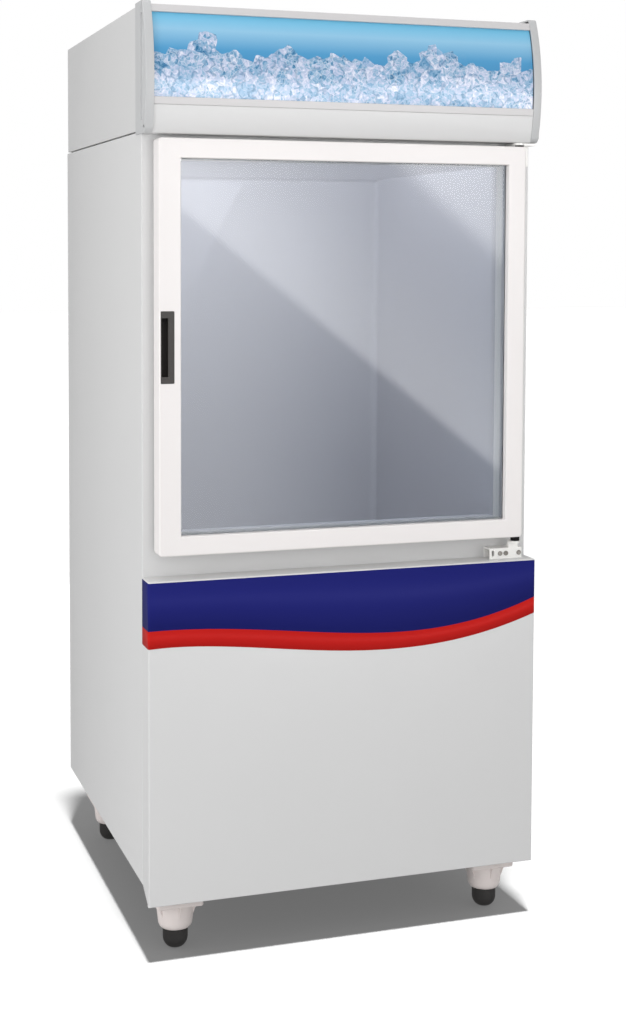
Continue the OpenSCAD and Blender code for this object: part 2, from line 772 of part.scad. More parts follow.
// Tray on top of the shell that boils off the defrost water
module drip_tray() color([0.24, 0.24, 0.26]) translate([comp_x, comp_y, comp_z + shell_h]) difference() {
    linear_extrude(tray_h) round_rect([-100, -76], [100, 76], 16);
    translate([0, 0, 2.5]) linear_extrude(tray_h) round_rect([-97.5, -73.5], [97.5, 73.5], 13.5);
}

function cond_row_y(row) = (cond_y0 + cond_y1) / 2 + (row == 0 ? -1 : 1) * cond_row / 2;
function level_z(i) = cond_z0 + (i + 0.5) * cond_pitch;

// Tube holes of the condenser, drawn in Y and Z
module cond_holes() for (row = [0, 1], i = [0:cond_levels - 1])
    translate([cond_row_y(row), level_z(i)]) circle(cond_tube_r + hole_slack);

module condenser_fins() color("gainsboro") {
    pitch = (cond_w - 10) / (fin_count - 1);
    for (i = [0:fin_count - 1]) {
        x = cond_x - cond_w / 2 + 5 + i * pitch;
        along_x(x - 0.4, x + 0.4) difference() {
            translate([cond_y0, cond_z0]) square([cond_d, cond_h]);
            cond_holes();
        }
    }
}

// Two rows of tubes joined by half-turns into one path, from the top level to the lowest
module condenser_coil() color("peru") {
    for (row = [0, 1], i = [0:cond_levels - 1])
        translate([cond_x - cond_end, cond_row_y(row), level_z(i)]) rotate([0, 90, 0])
            cylinder(r = cond_tube_r, h = 2 * cond_end);
    for (i = [0:cond_levels - 1])
        u_bend([cond_x - cond_end, cond_row_y(0), level_z(i)], [0, 1, 0], [-1, 0, 0], cond_tube_r, cond_row / 2);
    for (i = [0:cond_levels - 2])
        u_bend([cond_x + cond_end, cond_row_y((cond_levels - i + 1) % 2), level_z(i)], [0, 0, 1], [1, 0, 0],
               cond_tube_r, cond_pitch / 2);
}

// Channel-shaped tube sheets that carry the coil and stand on the pan
module condenser_ends() color("silver") for (s = [-1, 1]) {
    x0 = cond_x + s * (cond_w / 2 + 1);
    along_x(min(x0, x0 + s * 1.5), max(x0, x0 + s * 1.5)) difference() {
        translate([cond_y0 - 2, pan_top]) square([cond_d + 4, cond_h + 12]);
        cond_holes();
    }
    for (y = [cond_y0 - 2, cond_y1 + 0.5])
        block([min(x0, x0 + s * 12), y, pan_top], [max(x0, x0 + s * 12), y + 1.5, cond_z0 + cond_h + 4]);
}

// Moulded plate with a round throat and three arms to the motor's seat
module fan_shroud() color([0.15, 0.15, 0.16]) difference() {
    seat_y = rotor_y - hub_l / 2 - 16;
    y1 = cond_y0 - 2;
    union() {
        along_y(y1 - 3, y1) difference() {
            translate([cond_x - cond_w / 2, pan_top]) square([cond_w, cond_h + 12]);
            translate([cond_x, fan_z]) circle(fan_r + 3);
        }
        along_y(y1 - 34, y1) translate([cond_x, fan_z]) difference() {
            circle(fan_r + 6);
            circle(fan_r + 3);
        }
        for (a = [90, 210, 330]) translate([cond_x, 0, fan_z]) rotate([0, a, 0])
            block([26, seat_y, -6], [fan_r + 4.5, seat_y + 4, 6]);
        for (a = [90, 210, 330]) translate([cond_x, 0, fan_z]) rotate([0, a, 0])
            block([fan_r + 3, seat_y, -6], [fan_r + 6, y1 - 30, 6]);
        along_y(seat_y, seat_y + 4) translate([cond_x, fan_z]) circle(32);
    }
    along_y(seat_y - 1, seat_y + 5) translate([cond_x, fan_z]) circle(12);
}

// Shaded-pole motor behind the seat, with a ribbed shell, a nose bearing and the shaft
module fan_motor() color([0.3, 0.3, 0.32]) {
    seat_y = rotor_y - hub_l / 2 - 16;
    along_y(seat_y - 44, seat_y) translate([cond_x, fan_z]) circle(30);
    for (i = [0:3]) along_y(seat_y - 40 + i * 10, seat_y - 36 + i * 10) translate([cond_x, fan_z]) circle(33);
    along_y(seat_y - 50, seat_y - 44) translate([cond_x, fan_z]) circle(20);
    along_y(seat_y, seat_y + 9) translate([cond_x, fan_z]) circle(11);
    along_y(seat_y + 9, rotor_y + hub_l / 2 - 3) translate([cond_x, fan_z]) circle(shaft_r);
}

// Section loop of a blade at radius r: a cambered strip, wider and flatter towards the tip
function blade_loop(r) = let (
    f = (r - fan_hub_r) / (fan_r - fan_hub_r),
    chord = 38 + 44 * f,
    pitch = 40 - 16 * f,
    steps = 5
) [for (side = [1, -1], i = [0:steps]) let (
    s = side == 1 ? i / steps : 1 - i / steps,
    u = (s - 0.5) * chord,
    v = 0.09 * chord * (1 - pow(2 * s - 1, 2)) + side * (0.5 + 0.9 * sqrt(max(0, s * (1 - s)) * 4))
) [u * cos(pitch) - v * sin(pitch), u * sin(pitch) + v * cos(pitch), r]];

// Skin of triangles over equal loops of points, closed at both ends
module loft(loops) {
    n = len(loops[0]);
    rings = len(loops);
    points = [for (l = loops, p = l) p];
    sides = [for (k = [0:rings - 2], i = [0:n - 1]) let (
        a = k * n + i, b = k * n + (i + 1) % n
    ) each [[a, b, a + n], [b, b + n, a + n]]];
    // The ends are strips between the two sides of the section, whose points run there and back
    top = (rings - 1) * n;
    ends = [for (k = [0:n / 2 - 2]) let (a = k, b = k + 1, c = n - 2 - k, d = n - 1 - k) each [
        [a, c, b], [a, d, c], [top + a, top + b, top + c], [top + a, top + c, top + d]
    ]];
    polyhedron(points, concat(sides, ends));
}

module fan_rotor() color([0.9, 0.9, 0.88]) translate([cond_x, rotor_y, fan_z]) rotate([90, 0, 0]) difference() {
    union() {
        translate([0, 0, -hub_l / 2]) cylinder(r = fan_hub_r, h = hub_l);
        intersection() {
            for (i = [0:blade_count - 1]) rotate([0, 0, i * 360 / blade_count]) rotate([90, 0, 90])
                loft([for (k = [0:5]) blade_loop(blade_root + k * (fan_r + 1 - blade_root) / 5)]);
            translate([0, 0, -hub_l]) cylinder(r = fan_r, h = 2 * hub_l);
        }
    }
    translate([0, 0, -hub_l / 2 - 1]) cylinder(r = shaft_r + run_fit, h = hub_l + 2);
    // The hub is hollow towards the motor
    translate([0, 0, -hub_l / 2 + 3]) rotate_extrude() translate([shaft_r + 4, 0])
        square([blade_root - shaft_r - 6, hub_l]);
}

// Copper drier with necked ends, standing beside the condenser
drier_x = cond_x + cond_end + 66;
drier_y = cond_y0 - 120;
drier_z0 = pan_top + 110;
drier_l = 96;
drier_r = 11;

module filter_drier() color("peru") translate([drier_x, drier_y, drier_z0]) {
    neck = 16;
    translate([0, 0, neck]) cylinder(r = drier_r, h = drier_l - 2 * neck);
    cylinder(r1 = tube_r, r2 = drier_r, h = neck);
    translate([0, 0, drier_l - neck]) cylinder(r1 = drier_r, r2 = tube_r, h = neck);
}

// Discharge, liquid, feed and suction lines with square runs and round bends
module refrigerant_lines() color("peru") {
    stub_z = comp_z + shell_h * 0.4;
    right_x = cond_x + cond_end;
    level_y = comp_y + shell_r + 14;
    pipe([[comp_x + shell_r + 16, comp_y, stub_z], [right_x + 34, comp_y, stub_z],
          [right_x + 34, comp_y, level_z(cond_levels - 1)],
          [right_x + 34, cond_row_y(0), level_z(cond_levels - 1)],
          [right_x, cond_row_y(0), level_z(cond_levels - 1)]], cond_tube_r);
    pipe([[right_x, cond_row_y(0), level_z(0)], [drier_x, cond_row_y(0), level_z(0)],
          [drier_x, drier_y, level_z(0)], [drier_x, drier_y, drier_z0]], tube_r);
    pipe([[drier_x, drier_y, drier_z0 + drier_l], [drier_x, drier_y, tail_z - 30],
          [drier_x, evap_y, tail_z - 30], [tail_low_x, evap_y, tail_z - 30],
          [tail_low_x, evap_y, tail_z]], tube_r);
    pipe([[tail_top_x, evap_y, tail_z], [tail_top_x, evap_y, tail_z - 66],
          [tail_top_x, level_y, tail_z - 66], [tail_top_x, level_y, stub_z],
          [comp_x - shell_r - 44, level_y, stub_z], [comp_x - shell_r - 44, comp_y, stub_z],
          [comp_x - shell_r - 16, comp_y, stub_z]], tube_r);
}

// ---------------------------------------------------------------- controls

// Box behind the grille's window, hung from the underfloor sheet
module control_box() color([0.2, 0.2, 0.22]) difference() {
    y0 = grille_y - control_d;
    y1 = grille_y + sheet;
    union() {
        along_y(y0, y1) round_rect([control_x0, control_z0], [control_x1, control_z1], 5);
        for (x = [control_x0 + 14, control_x1 - 26])
            block([x, y0 + 6, control_z1 - 1], [x + 12, y0 + 9, deck_z]);
        translate([control_mid_x, y1, knob_z]) rotate([-90, 0, 0]) cylinder(r = knob_r + 3, h = 0.8);
    }
    // The box is open towards the compartment
    along_y(y0 - 1, y1 - 21) round_rect([control_x0 + 2, control_z0 + 2], [control_x1 - 2, control_z1 - 2], 3);
    translate([control_mid_x, y1 + 2, knob_z]) rotate([90, 0, 0]) cylinder(r = knob_shaft_r + run_fit, h = 20);
    // Well and pivot holes of the rocker
    along_y(y1 - 19, y1 + 1) translate([control_mid_x, rocker_z])
        square([rocker_w + 2 * face_gap, 2 * rocker_r + 2], center = true);
    translate([control_mid_x - rocker_w / 2 - 4, y1 - 4, rocker_z]) rotate([0, 90, 0])
        cylinder(r = rocker_pin_r + run_fit, h = rocker_w + 8);
}

// Thermostat knob: a fluted skirt and a grip bar on a shaft
module thermostat_knob() color([0.12, 0.12, 0.12])
    translate([control_mid_x, grille_y + sheet + 0.8 + face_gap, knob_z]) rotate([-90, 0, 0]) {
        difference() {
            cylinder(r = knob_r, h = 4);
            for (a = [0:30:330]) rotate([0, 0, a]) translate([knob_r + 1.2, 0, -1]) cylinder(r = 2.4, h = 6);
        }
        translate([0, 0, 4]) linear_extrude(5) round_rect([-3.5, -knob_r + 3], [3.5, knob_r - 3], 3);
        translate([0, 0, -14]) cylinder(r = knob_shaft_r, h = 15);
    }

// Two-position rocker on its own pivot pins, resting on one side
module lamp_rocker() color([0.75, 0.1, 0.1])
    translate([control_mid_x, grille_y + sheet - 4, rocker_z]) rotate([rocker_tilt, 0, 0]) {
        along_x(-rocker_w / 2, rocker_w / 2)
            polygon([[-10, -rocker_h + 3], [4, -rocker_h], [3.2, -rocker_h * 0.4], [3, 0],
                     [3.2, rocker_h * 0.4], [4, rocker_h], [-10, rocker_h - 3]]);
        translate([-rocker_w / 2 - 3, 0, 0]) rotate([0, 90, 0]) cylinder(r = rocker_pin_r, h = rocker_w + 6);
    }

// Three-pole appliance inlet in the grille
inlet_x = control_mid_x;
inlet_z = side_z + 74;
inlet_w = 30;
inlet_h = 22;

module power_inlet() color([0.1, 0.1, 0.1]) translate([inlet_x, grille_y + sheet, inlet_z]) {
    difference() {
        union() {
            along_y(0, 3) round_rect([-inlet_w / 2 - 12, -inlet_h / 2 - 4], [inlet_w / 2 + 12, inlet_h / 2 + 4], 4);
            along_y(-26, 0) translate([-inlet_w / 2 + 0.2, -inlet_h / 2 + 0.2]) square([inlet_w - 0.4, inlet_h - 0.4]);
        }
        along_y(-18, 4) round_rect([-12.5, -8.5], [12.5, 8.5], 2);
    }
    for (x = [-7, 0, 7]) block([x - 1, -19, -2], [x + 1, -3, 2 + (x == 0 ? 2 : 0)]);
}

// ---------------------------------------------------------------- header

// Outline of an end cap in Y and Z, drawn in by i: curved front with a rounded lower corner
module cap_outline(i) {
    fillet = 14 - i;
    floor_z = header_z + i;
    far = arc_r - i - fillet;
    cz = floor_z + fillet;
    cy = arc_y - sqrt(far * far - pow(arc_z - cz, 2));
    tangent_z = arc_z + (cz - arc_z) * (arc_r - i) / far;
    intersection() {
        translate([arc_y, arc_z]) circle(arc_r - i, $fn = ARC_FN);
        union() {
            translate([front_y - 1, tangent_z]) square([cap_d + 1 - i, header_top - i - tangent_z]);
            translate([cy, floor_z]) square([cap_back - i - cy, header_top - i - floor_z]);
        }
    }
    translate([cy, cz]) circle(fillet);
}

// Moulded end cap with a deep rim, a long thumb recess and a step over the body
module header_cap() difference() {
    face = 6;
    rim = 3;
    union() {
        along_x(half_w + cap_proud - face, half_w + cap_proud) cap_outline(0);
        along_x(cap_in, half_w + cap_proud - face + EPS) difference() {
            cap_outline(0);
            cap_outline(rim);
        }
    }
    block([cap_in - 1, jamb_y - 2, header_z - 1], [half_w + cap_proud + 1, cap_back + 1, body_top + 1]);
    along_x(half_w + cap_proud - 4, half_w + cap_proud + 1) intersection() {
        cap_outline(11);
        translate([front_y, header_z + 24]) square([41, header_h - 46]);
    }
}

module header_cap_right() color([0.87, 0.87, 0.86]) header_cap();

module header_cap_left() color([0.87, 0.87, 0.86]) mirror([1, 0, 0]) header_cap();

// Band of the curved front between two radii and two heights, drawn in Y and Z
module arc_band(inset, t, z0, z1) intersection() {
    translate([arc_y, arc_z]) difference() {
        circle(arc_r - inset, $fn = ARC_FN);
        circle(arc_r - inset - t, $fn = ARC_FN);
    }
    translate([front_y - 1, z0]) square([cap_d + 20, z1 - z0]);
}

function arc_at(inset, z) = arc_y - sqrt(pow(arc_r - inset, 2) - pow(arc_z - z, 2));

// Extruded strip that grips one edge of the graphic panel; its web lies at web_z
module graphic_strip(z0, z1, web_z) along_x(-cap_in, cap_in) {
    arc_band(1, strip_face_t, z0, z1);
    arc_band(strip_face_t + graphic_t + 2.5, 1.5, z0, z1);
    arc_band(1, strip_face_t + graphic_t + 3, web_z, web_z + 1.5);
}

// The lower strip stands on the valance, the upper one carries a lip back to the housing
module graphic_strips() color("whitesmoke") {
    graphic_strip(graphic_z0, graphic_z0 + strip_h, graphic_z0);
    graphic_strip(graphic_z1 - strip_h, graphic_z1, graphic_z1 - 1.5);
    y0 = arc_at(1, graphic_z1) + 4;
    block([-cap_in, y0, graphic_z1 - 1.2], [cap_in, y0 + 16, graphic_z1]);
}

// Curved translucent panel that the lamp lights from behind
module header_graphic() color([0.45, 0.72, 0.9]) along_x(-cap_in + 0.5, cap_in - 0.5)
    arc_band(strip_face_t + 1.3, graphic_t, graphic_z0 + 2, graphic_z1 - 2);

// Plain folded sheet under the graphic panel
module header_valance() color([0.85, 0.85, 0.84]) along_x(-cap_in, cap_in) {
    arc_band(2, 1.2, header_z, valance_top);
    y0 = arc_at(2, header_z) + 0.4;
    translate([y0, header_z]) square([jamb_y - 1 - y0, 1.2]);
    translate([arc_at(2, valance_top), valance_top - 1.2]) square([14, 1.2]);
}

// Sheet box: two sides, a top, a back and a joggled floor that leaves the shadow gap
module header_housing() color("gainsboro") {
    z0 = body_top + seam_gap;
    joggle = 12;
    along_y(cap_back, housing_back) {
        for (s = [-1, 1]) {
            translate([s * (half_w - sheet / 2), (z0 + housing_top) / 2])
                square([sheet, housing_top - z0], center = true);
            translate([s * (half_w - joggle / 2), z0 + sheet / 2]) square([joggle, sheet], center = true);
            translate([s * (half_w - joggle + sheet / 2), (body_top + z0 + sheet) / 2])
                square([sheet, z0 + sheet - body_top], center = true);
        }
        translate([-half_w + joggle, body_top]) square([2 * (half_w - joggle), sheet]);
        translate([-half_w, housing_top - sheet]) square([2 * half_w, sheet]);
    }
    block([-half_w, housing_back - sheet, body_top + sheet], [half_w, housing_back, housing_top]);
    top_y0 = arc_at(1, graphic_z1) + 20;
    block([-cap_in, top_y0, graphic_z1], [cap_in, top_y0 + 2 * sheet, housing_top]);
    block([-cap_in, top_y0, housing_top - sheet], [cap_in, cap_back + EPS, housing_top]);
}

// Lamp tube along the header with metal end caps and two contact pins at each end
module lamp_tube() color("white") {
    translate([-lamp_half + 14, lamp_y, lamp_z]) rotate([0, 90, 0]) cylinder(r = lamp_r, h = 2 * lamp_half - 28);
    for (s = [-1, 1]) {
        x = s * (lamp_half - 7);
        translate([x, lamp_y, lamp_z]) rotate([0, 90, 0]) cylinder(r = lamp_r + 0.6, h = 14 + EPS, center = true);
        for (dz = [-5, 5]) translate([s * (lamp_half + 3), lamp_y, lamp_z + dz])
            rotate([0, 90, 0]) cylinder(r = 1.2, h = 6 + EPS, center = true);
    }
}

// Upright lamp sockets that stand on the header's floor
module lamp_holders() color("white") for (s = [-1, 1]) difference() {
    x = s * (lamp_half + 4.3);
    union() {
        along_x(x - 4, x + 4) {
            translate([lamp_y, lamp_z]) circle(lamp_r + 3);
            translate([lamp_y - 10, body_top + sheet]) square([20, lamp_z - body_top - sheet]);
        }
        block([x - 12, lamp_y - 14, body_top + sheet], [x + 12, lamp_y + 14, body_top + sheet + 4]);
    }
    for (dz = [-5, 5]) translate([x - s * 4.5, lamp_y, lamp_z + dz]) rotate([0, s * 90, 0])
        cylinder(r = 1.3, h = 6.9);
}

// Driver box on the header's floor, with end lugs
module lamp_driver() color("silver") {
    y = lamp_y + 70;
    z = body_top + sheet;
    block([-110, y, z + 1.2], [110, y + 42, z + 30]);
    for (s = [-1, 1]) difference() {
        block([s * 122 - 12, y + 8, z], [s * 122 + 12, y + 34, z + 1.2]);
        translate([s * 127, y + 21, z - 1]) cylinder(r = 2.5, h = 4);
    }
    block([-110, y + 8, z], [110, y + 34, z + 1.3]);
}

// ---------------------------------------------------------------- door

// Section of a frame bar of width w: x inwards from the outer edge, y back from the front face
module bar_section(w) {
    r = 2.5;
    translate([r, 0]) square([w - 2 * r, lip_d]);
    translate([0, r]) square([w, lip_d - r]);
    for (x = [r, w - r]) translate([x, r]) circle(r);
    translate([0, r]) square([w - rebate, door_t - r]);
}

// Keeps the part of a bar inside its mitre, rounds the door's corners and cuts the gasket's groove
module mitred(corners) difference() {
    intersection() {
        children();
        along_y(front_y - 1, door_back + 1) intersection() {
            polygon(corners);
            round_rect([door_x0, door_z0], [door_x1, door_z1], door_corner_r);
        }
    }
    gasket_layer(door_back - dart_depth - 0.4, door_back + 1, gasket_w / 2 - dart_w / 2 - 0.2, dart_w + 0.4);
}

outer_bl = [door_x0, door_z0];
outer_br = [door_x1, door_z0];
outer_tl = [door_x0, door_z1];
outer_tr = [door_x1, door_z1];
inner_bl = outer_bl + [handle_stile_w, frame_w];
inner_br = outer_br + [-frame_w, frame_w];
inner_tl = outer_tl + [handle_stile_w, -frame_w];
inner_tr = outer_tr + [-frame_w, -frame_w];

handle_x0 = door_x0 + 3;
handle_z0 = door_z0 + handle_mid - handle_h / 2;
handle_z1 = handle_z0 + handle_h;
cup_w = handle_stile_w - rebate - 5;
plate_t = 2;

module door_stile_handle() color("white") difference() {
    mitred([outer_bl, inner_bl, inner_tl, outer_tl])
        translate([door_x0, front_y, door_z0]) linear_extrude(door_h) bar_section(handle_stile_w);
    // Seat of the handle's plate and cup
    block([handle_x0 - 0.1, front_y - 1, handle_z0 - 0.1],
          [handle_x0 + handle_w + 0.1, front_y + plate_t, handle_z1 + 0.1]);
    block([handle_x0 - 0.1, front_y - 1, handle_z0 + 4], [handle_x0 + cup_w, front_y + handle_depth + 2, handle_z1 - 4]);
}

module door_stile_hinge() color("white") difference() {
    mitred([outer_br, inner_br, inner_tr, outer_tr])
        translate([door_x1, front_y, door_z0]) mirror([1, 0, 0]) linear_extrude(door_h) bar_section(frame_w);
    bush_pockets();
}

module door_rails() color("white") difference() {
    union() {
        mitred([outer_bl, outer_br, inner_br, inner_bl])
            translate([door_x1, front_y, door_z0]) rotate([0, -90, 0]) linear_extrude(door_w) bar_section(frame_w);
        mitred([outer_tl, outer_tr, inner_tr, inner_tl])
            translate([door_x0, front_y, door_z1]) rotate([0, 90, 0]) linear_extrude(door_w) bar_section(frame_w);
    }
    bush_pockets();
}

// Holes in the hinge corners that hold the bushings
module bush_pockets() {
    translate([hinge_x, hinge_y, door_z0 - 1]) cylinder(r = bush_r + run_fit, h = bush_l + 1);
    translate([hinge_x, hinge_y, door_z1 - bush_l]) cylinder(r = bush_r + run_fit, h = bush_l + 1);
}

// Nylon bushings pressed into the door's lower and upper hinge corners
module hinge_bushings() color([0.08, 0.08, 0.08]) difference() {
    union() {
        translate([hinge_x, hinge_y, door_z0 - low_flange_h]) {
            cylinder(r = bush_flange_r, h = low_flange_h);
            cylinder(r = bush_r, h = low_flange_h + bush_l - 1);
        }
        translate([hinge_x, hinge_y, door_z1 - bush_l + 1]) cylinder(r = bush_r, h = bush_l + top_flange_h - 1);
        translate([hinge_x, hinge_y, door_z1]) cylinder(r = bush_flange_r, h = top_flange_h);
    }
    translate([hinge_x, hinge_y, door_z0 - low_flange_h - 1]) cylinder(r = pin_r + run_fit, h = low_flange_h + bush_l + 2);
    translate([hinge_x, hinge_y, door_z1 - bush_l]) cylinder(r = pin_r + run_fit, h = bush_l + top_flange_h + 2);
}

// Pane of glass from y to y + pane_t, bitten all round by the frame
module pane(y) {
    slack = rebate - glass_bite;
    block([door_x0 + handle_stile_w - rebate + slack, y, door_z0 + frame_w - rebate + slack],
          [door_x1 - frame_w + rebate - slack, y + pane_t, door_z1 - frame_w + rebate - slack]);
}

module door_glass_outer() color([0.75, 0.8, 0.85, 0.35]) pane(glass_y);

module door_glass_inner() color([0.75, 0.8, 0.85, 0.35]) pane(glass_y + pane_t + pane_gap);

// Ring in X and Z that follows the frame's inner edge, from out outside it to inward inside it
module frame_ring(out, inward) difference() {
    translate(inner_bl - [out, out]) square(inner_tr - inner_bl + [2 * out, 2 * out]);
    translate(inner_bl + [inward, inward]) square(inner_tr - inner_bl - [2 * inward, 2 * inward]);
}

// Hollow aluminium spacer between the panes
module glass_spacer() color("silver") along_y(glass_y + pane_t, glass_y + pane_t + pane_gap)
    frame_ring(10, 1);

// Snap-in bead that holds the glass unit from inside, with a stepped face
module glazing_bead() color("whitesmoke") {
    y0 = glass_y + unit_t;
    along_y(y0, door_back - 3) frame_ring(rebate, 0);
    along_y(door_back - 3, door_back) frame_ring(rebate, -4);
}

gasket_back = jamb_y - face_gap;
dart_depth = 4.6;
dart_w = 2.6;

// Ring of the gasket's section, inset from its outer edge and w wide
module gasket_layer(y0, y1, inset, w) along_y(y0, y1)
    rect_ring([door_x0, door_z0] + (gasket_inset + inset) * [1, 1],
              [door_x1, door_z1] - (gasket_inset + inset) * [1, 1], w);

// Magnetic gasket: a dart in the frame's groove, a folded bellows and the magnet's bulb
module door_gasket() color([0.75, 0.75, 0.76]) {
    bulb = 3.4;
    gasket_layer(door_back - dart_depth, door_back + EPS, gasket_w / 2 - dart_w / 2, dart_w);
    gasket_layer(door_back, door_back + 1.6, 0, gasket_w);
    gasket_layer(door_back + 1.6 - EPS, gasket_back - bulb + EPS, 3, 1.6);
    gasket_layer(door_back + 1.6 - EPS, gasket_back - bulb + EPS, gasket_w - 4.6, 1.6);
    gasket_layer(gasket_back - bulb, gasket_back, 1, gasket_w - 2);
}

// Flush grip: a plate with a finger pocket that runs on behind the plate's inner part
module door_handle() color([0.27, 0.27, 0.27]) difference() {
    x0 = handle_x0;
    mouth_w = 12.5;
    end = 11;
    union() {
        along_y(front_y, front_y + plate_t) round_rect([x0, handle_z0], [x0 + handle_w, handle_z1], 1.5);
        block([x0, front_y, handle_z0 + 4.1], [x0 + cup_w - 0.1, front_y + handle_depth + 1.9, handle_z1 - 4.1]);
    }
    block([x0 + 1, front_y - 1, handle_z0 + end], [x0 + mouth_w, front_y + handle_depth, handle_z1 - end]);
    block([x0 + 1, front_y + 7, handle_z0 + end], [x0 + cup_w - 1.6, front_y + handle_depth, handle_z1 - end]);
}

// ---------------------------------------------------------------- hinge brackets

// Lower bracket on the apron's ledge and upper bracket over the door, each with its pin
module hinge_brackets() color("white") {
    low_arm = door_z0 - low_flange_h - face_gap;
    plate_top = apron_top + 20;
    left = hinge_x - 48;
    right = hinge_x + 18;
    nose = bush_flange_r + 1;
    difference() {
        union() {
            // Boxed lower bracket: front plate, top, and a leg against the front frame
            block([left, plate_y, apron_top], [right, plate_y + 3, plate_top]);
            block([left, plate_y, plate_top - 3], [right, jamb_y, plate_top]);
            block([left, jamb_y - 3, apron_top], [right, jamb_y, plate_top]);
            // Upright tab and the arm under the door
            block([hinge_x - nose, plate_y, plate_top - 3], [hinge_x + nose, plate_y + 3, low_arm]);
            block([hinge_x - nose, hinge_y, low_arm - arm_t], [hinge_x + nose, plate_y + 3, low_arm]);
            translate([hinge_x, hinge_y, low_arm - arm_t]) cylinder(r = nose, h = arm_t);
            for (s = [-1, 1]) along_x(hinge_x + s * (nose - 1.5) - 1.5, hinge_x + s * (nose - 1.5) + 1.5)
                polygon([[plate_y + 2, plate_top - 2], [plate_y + 2, low_arm - 2],
                         [jamb_y - 12, plate_top - 2]]);
        }
        // Slot for setting the door level, and the screws' holes
        along_y(plate_y - 1, plate_y + 4) round_rect([left + 4, apron_top + 5], [left + 9, apron_top + 16], 2.4);
        for (p = hinge_screws()) translate(p) screw_hole(4);
    }
    translate([hinge_x, hinge_y, low_arm - arm_t]) cylinder(r = pin_r, h = arm_t + face_gap + low_flange_h + bush_l - 3);
    top_arm = door_z1 + top_flange_h + face_gap;
    translate([hinge_x, hinge_y, door_z1 - bush_l + 3]) cylinder(r = pin_r, h = bush_l - 3 + top_flange_h + face_gap + arm_t);
    translate([hinge_x, hinge_y, top_arm]) cylinder(r = nose, h = arm_t);
    block([hinge_x - nose, hinge_y, top_arm], [half_w - 3, jamb_y, top_arm + arm_t]);
    difference() {
        block([hinge_x + 4, jamb_y - 3, door_z1 - 34], [half_w - 3, jamb_y, top_arm + arm_t]);
        for (p = hinge_screws()) translate(p) screw_hole(4);
    }
}

plate_y = hinge_y + 8;

// Screws of the lower bracket's front plate and of the upper bracket's leg
function hinge_screws() = [
    [hinge_x - 27, plate_y, apron_top + 10], [hinge_x - 15, plate_y, apron_top + 10],
    [hinge_x + 12, plate_y, apron_top + 10],
    [(hinge_x + half_w + 1) / 2, jamb_y - 3, door_z1 - 24],
    [(hinge_x + half_w + 1) / 2, jamb_y - 3, door_z1 - 10]
];

// The pan-head screws of the back panel, the rear grille and the hinge brackets
module screws() color("silver") {
    at_rear_screws() screw(2 * sheet);
    for (p = hinge_screws()) translate(p) screw(3);
}

side_panel_left();
side_panel_right();
back_panel();
top_panel();
front_frame();
underfloor_panel();
foam_insulation();
liner();
breaker_trim();
evaporator_coil();
drain_fitting();
floor_rack();
base_frame();
foot_sockets();
level_foot_front_left();
level_foot_front_right();
level_foot_rear_left();
level_foot_rear_right();
apron();
band_blue();
band_red();
rear_grille();
compressor();
compressor_grommets();
compressor_bolts();
starter_box();
drip_tray();
condenser_fins();
condenser_coil();
condenser_ends();
fan_shroud();
fan_motor();
fan_rotor();
filter_drier();
refrigerant_lines();
control_box();
thermostat_knob();
lamp_rocker();
power_inlet();
header_housing();
header_cap_left();
header_cap_right();
header_graphic();
graphic_strips();
header_valance();
lamp_tube();
lamp_holders();
lamp_driver();
door_stile_handle();
door_stile_hinge();
door_rails();
door_glass_outer();
door_glass_inner();
glass_spacer();
glazing_bead();
door_gasket();
door_handle();
hinge_brackets();
hinge_bushings();
screws();
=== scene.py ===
"""Looks of the ice merchandiser freezer: its visible pieces, finishes, lamps and camera.

Pieces are shaped in millimetres, and Form.finished turns them into metres. The studio's own
numbers are in metres and watts.
"""
import json
import logging
import math
from dataclasses import dataclass, field
from enum import Enum
from typing import Callable, Iterable, Sequence

import bmesh
import bpy
from bmesh.types import BMEdge, BMFace, BMVert
from mathutils import Euler, Matrix, Vector

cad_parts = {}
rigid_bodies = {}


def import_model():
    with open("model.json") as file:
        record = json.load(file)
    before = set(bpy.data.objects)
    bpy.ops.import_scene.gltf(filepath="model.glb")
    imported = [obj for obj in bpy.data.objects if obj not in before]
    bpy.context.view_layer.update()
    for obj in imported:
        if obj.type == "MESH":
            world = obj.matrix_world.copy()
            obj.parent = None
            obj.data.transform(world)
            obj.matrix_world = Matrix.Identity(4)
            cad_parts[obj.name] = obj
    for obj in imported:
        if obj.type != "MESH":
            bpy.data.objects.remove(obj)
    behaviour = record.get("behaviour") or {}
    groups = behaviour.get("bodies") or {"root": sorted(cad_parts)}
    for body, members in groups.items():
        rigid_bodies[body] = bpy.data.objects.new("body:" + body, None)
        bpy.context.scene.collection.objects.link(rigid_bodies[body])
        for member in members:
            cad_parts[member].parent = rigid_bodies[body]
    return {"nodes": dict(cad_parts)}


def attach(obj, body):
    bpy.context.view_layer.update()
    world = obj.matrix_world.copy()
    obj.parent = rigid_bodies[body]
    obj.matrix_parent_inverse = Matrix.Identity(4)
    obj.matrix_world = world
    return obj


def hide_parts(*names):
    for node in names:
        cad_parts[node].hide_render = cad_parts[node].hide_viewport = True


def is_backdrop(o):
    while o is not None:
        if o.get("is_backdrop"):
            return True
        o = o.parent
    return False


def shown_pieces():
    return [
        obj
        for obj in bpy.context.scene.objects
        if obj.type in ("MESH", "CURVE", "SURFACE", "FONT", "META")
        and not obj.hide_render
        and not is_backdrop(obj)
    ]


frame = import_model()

LOG = logging.getLogger("freezer")
Pair = tuple[float, float]
Triple = tuple[float, float, float]
Test = Callable[[Vector], bool]
Line = Callable[[float], float]
Node = bpy.types.Node
Outputs = bpy.types.NodeOutputs
Socket = bpy.types.NodeSocket
Material = bpy.types.Material
Object = bpy.types.Object

MM = 0.001
METRE = 1000.0
# How far off a plane a point may lie and still count as on it, in millimetres.
NEAR = 0.02
CUT_REACH = 1e-4
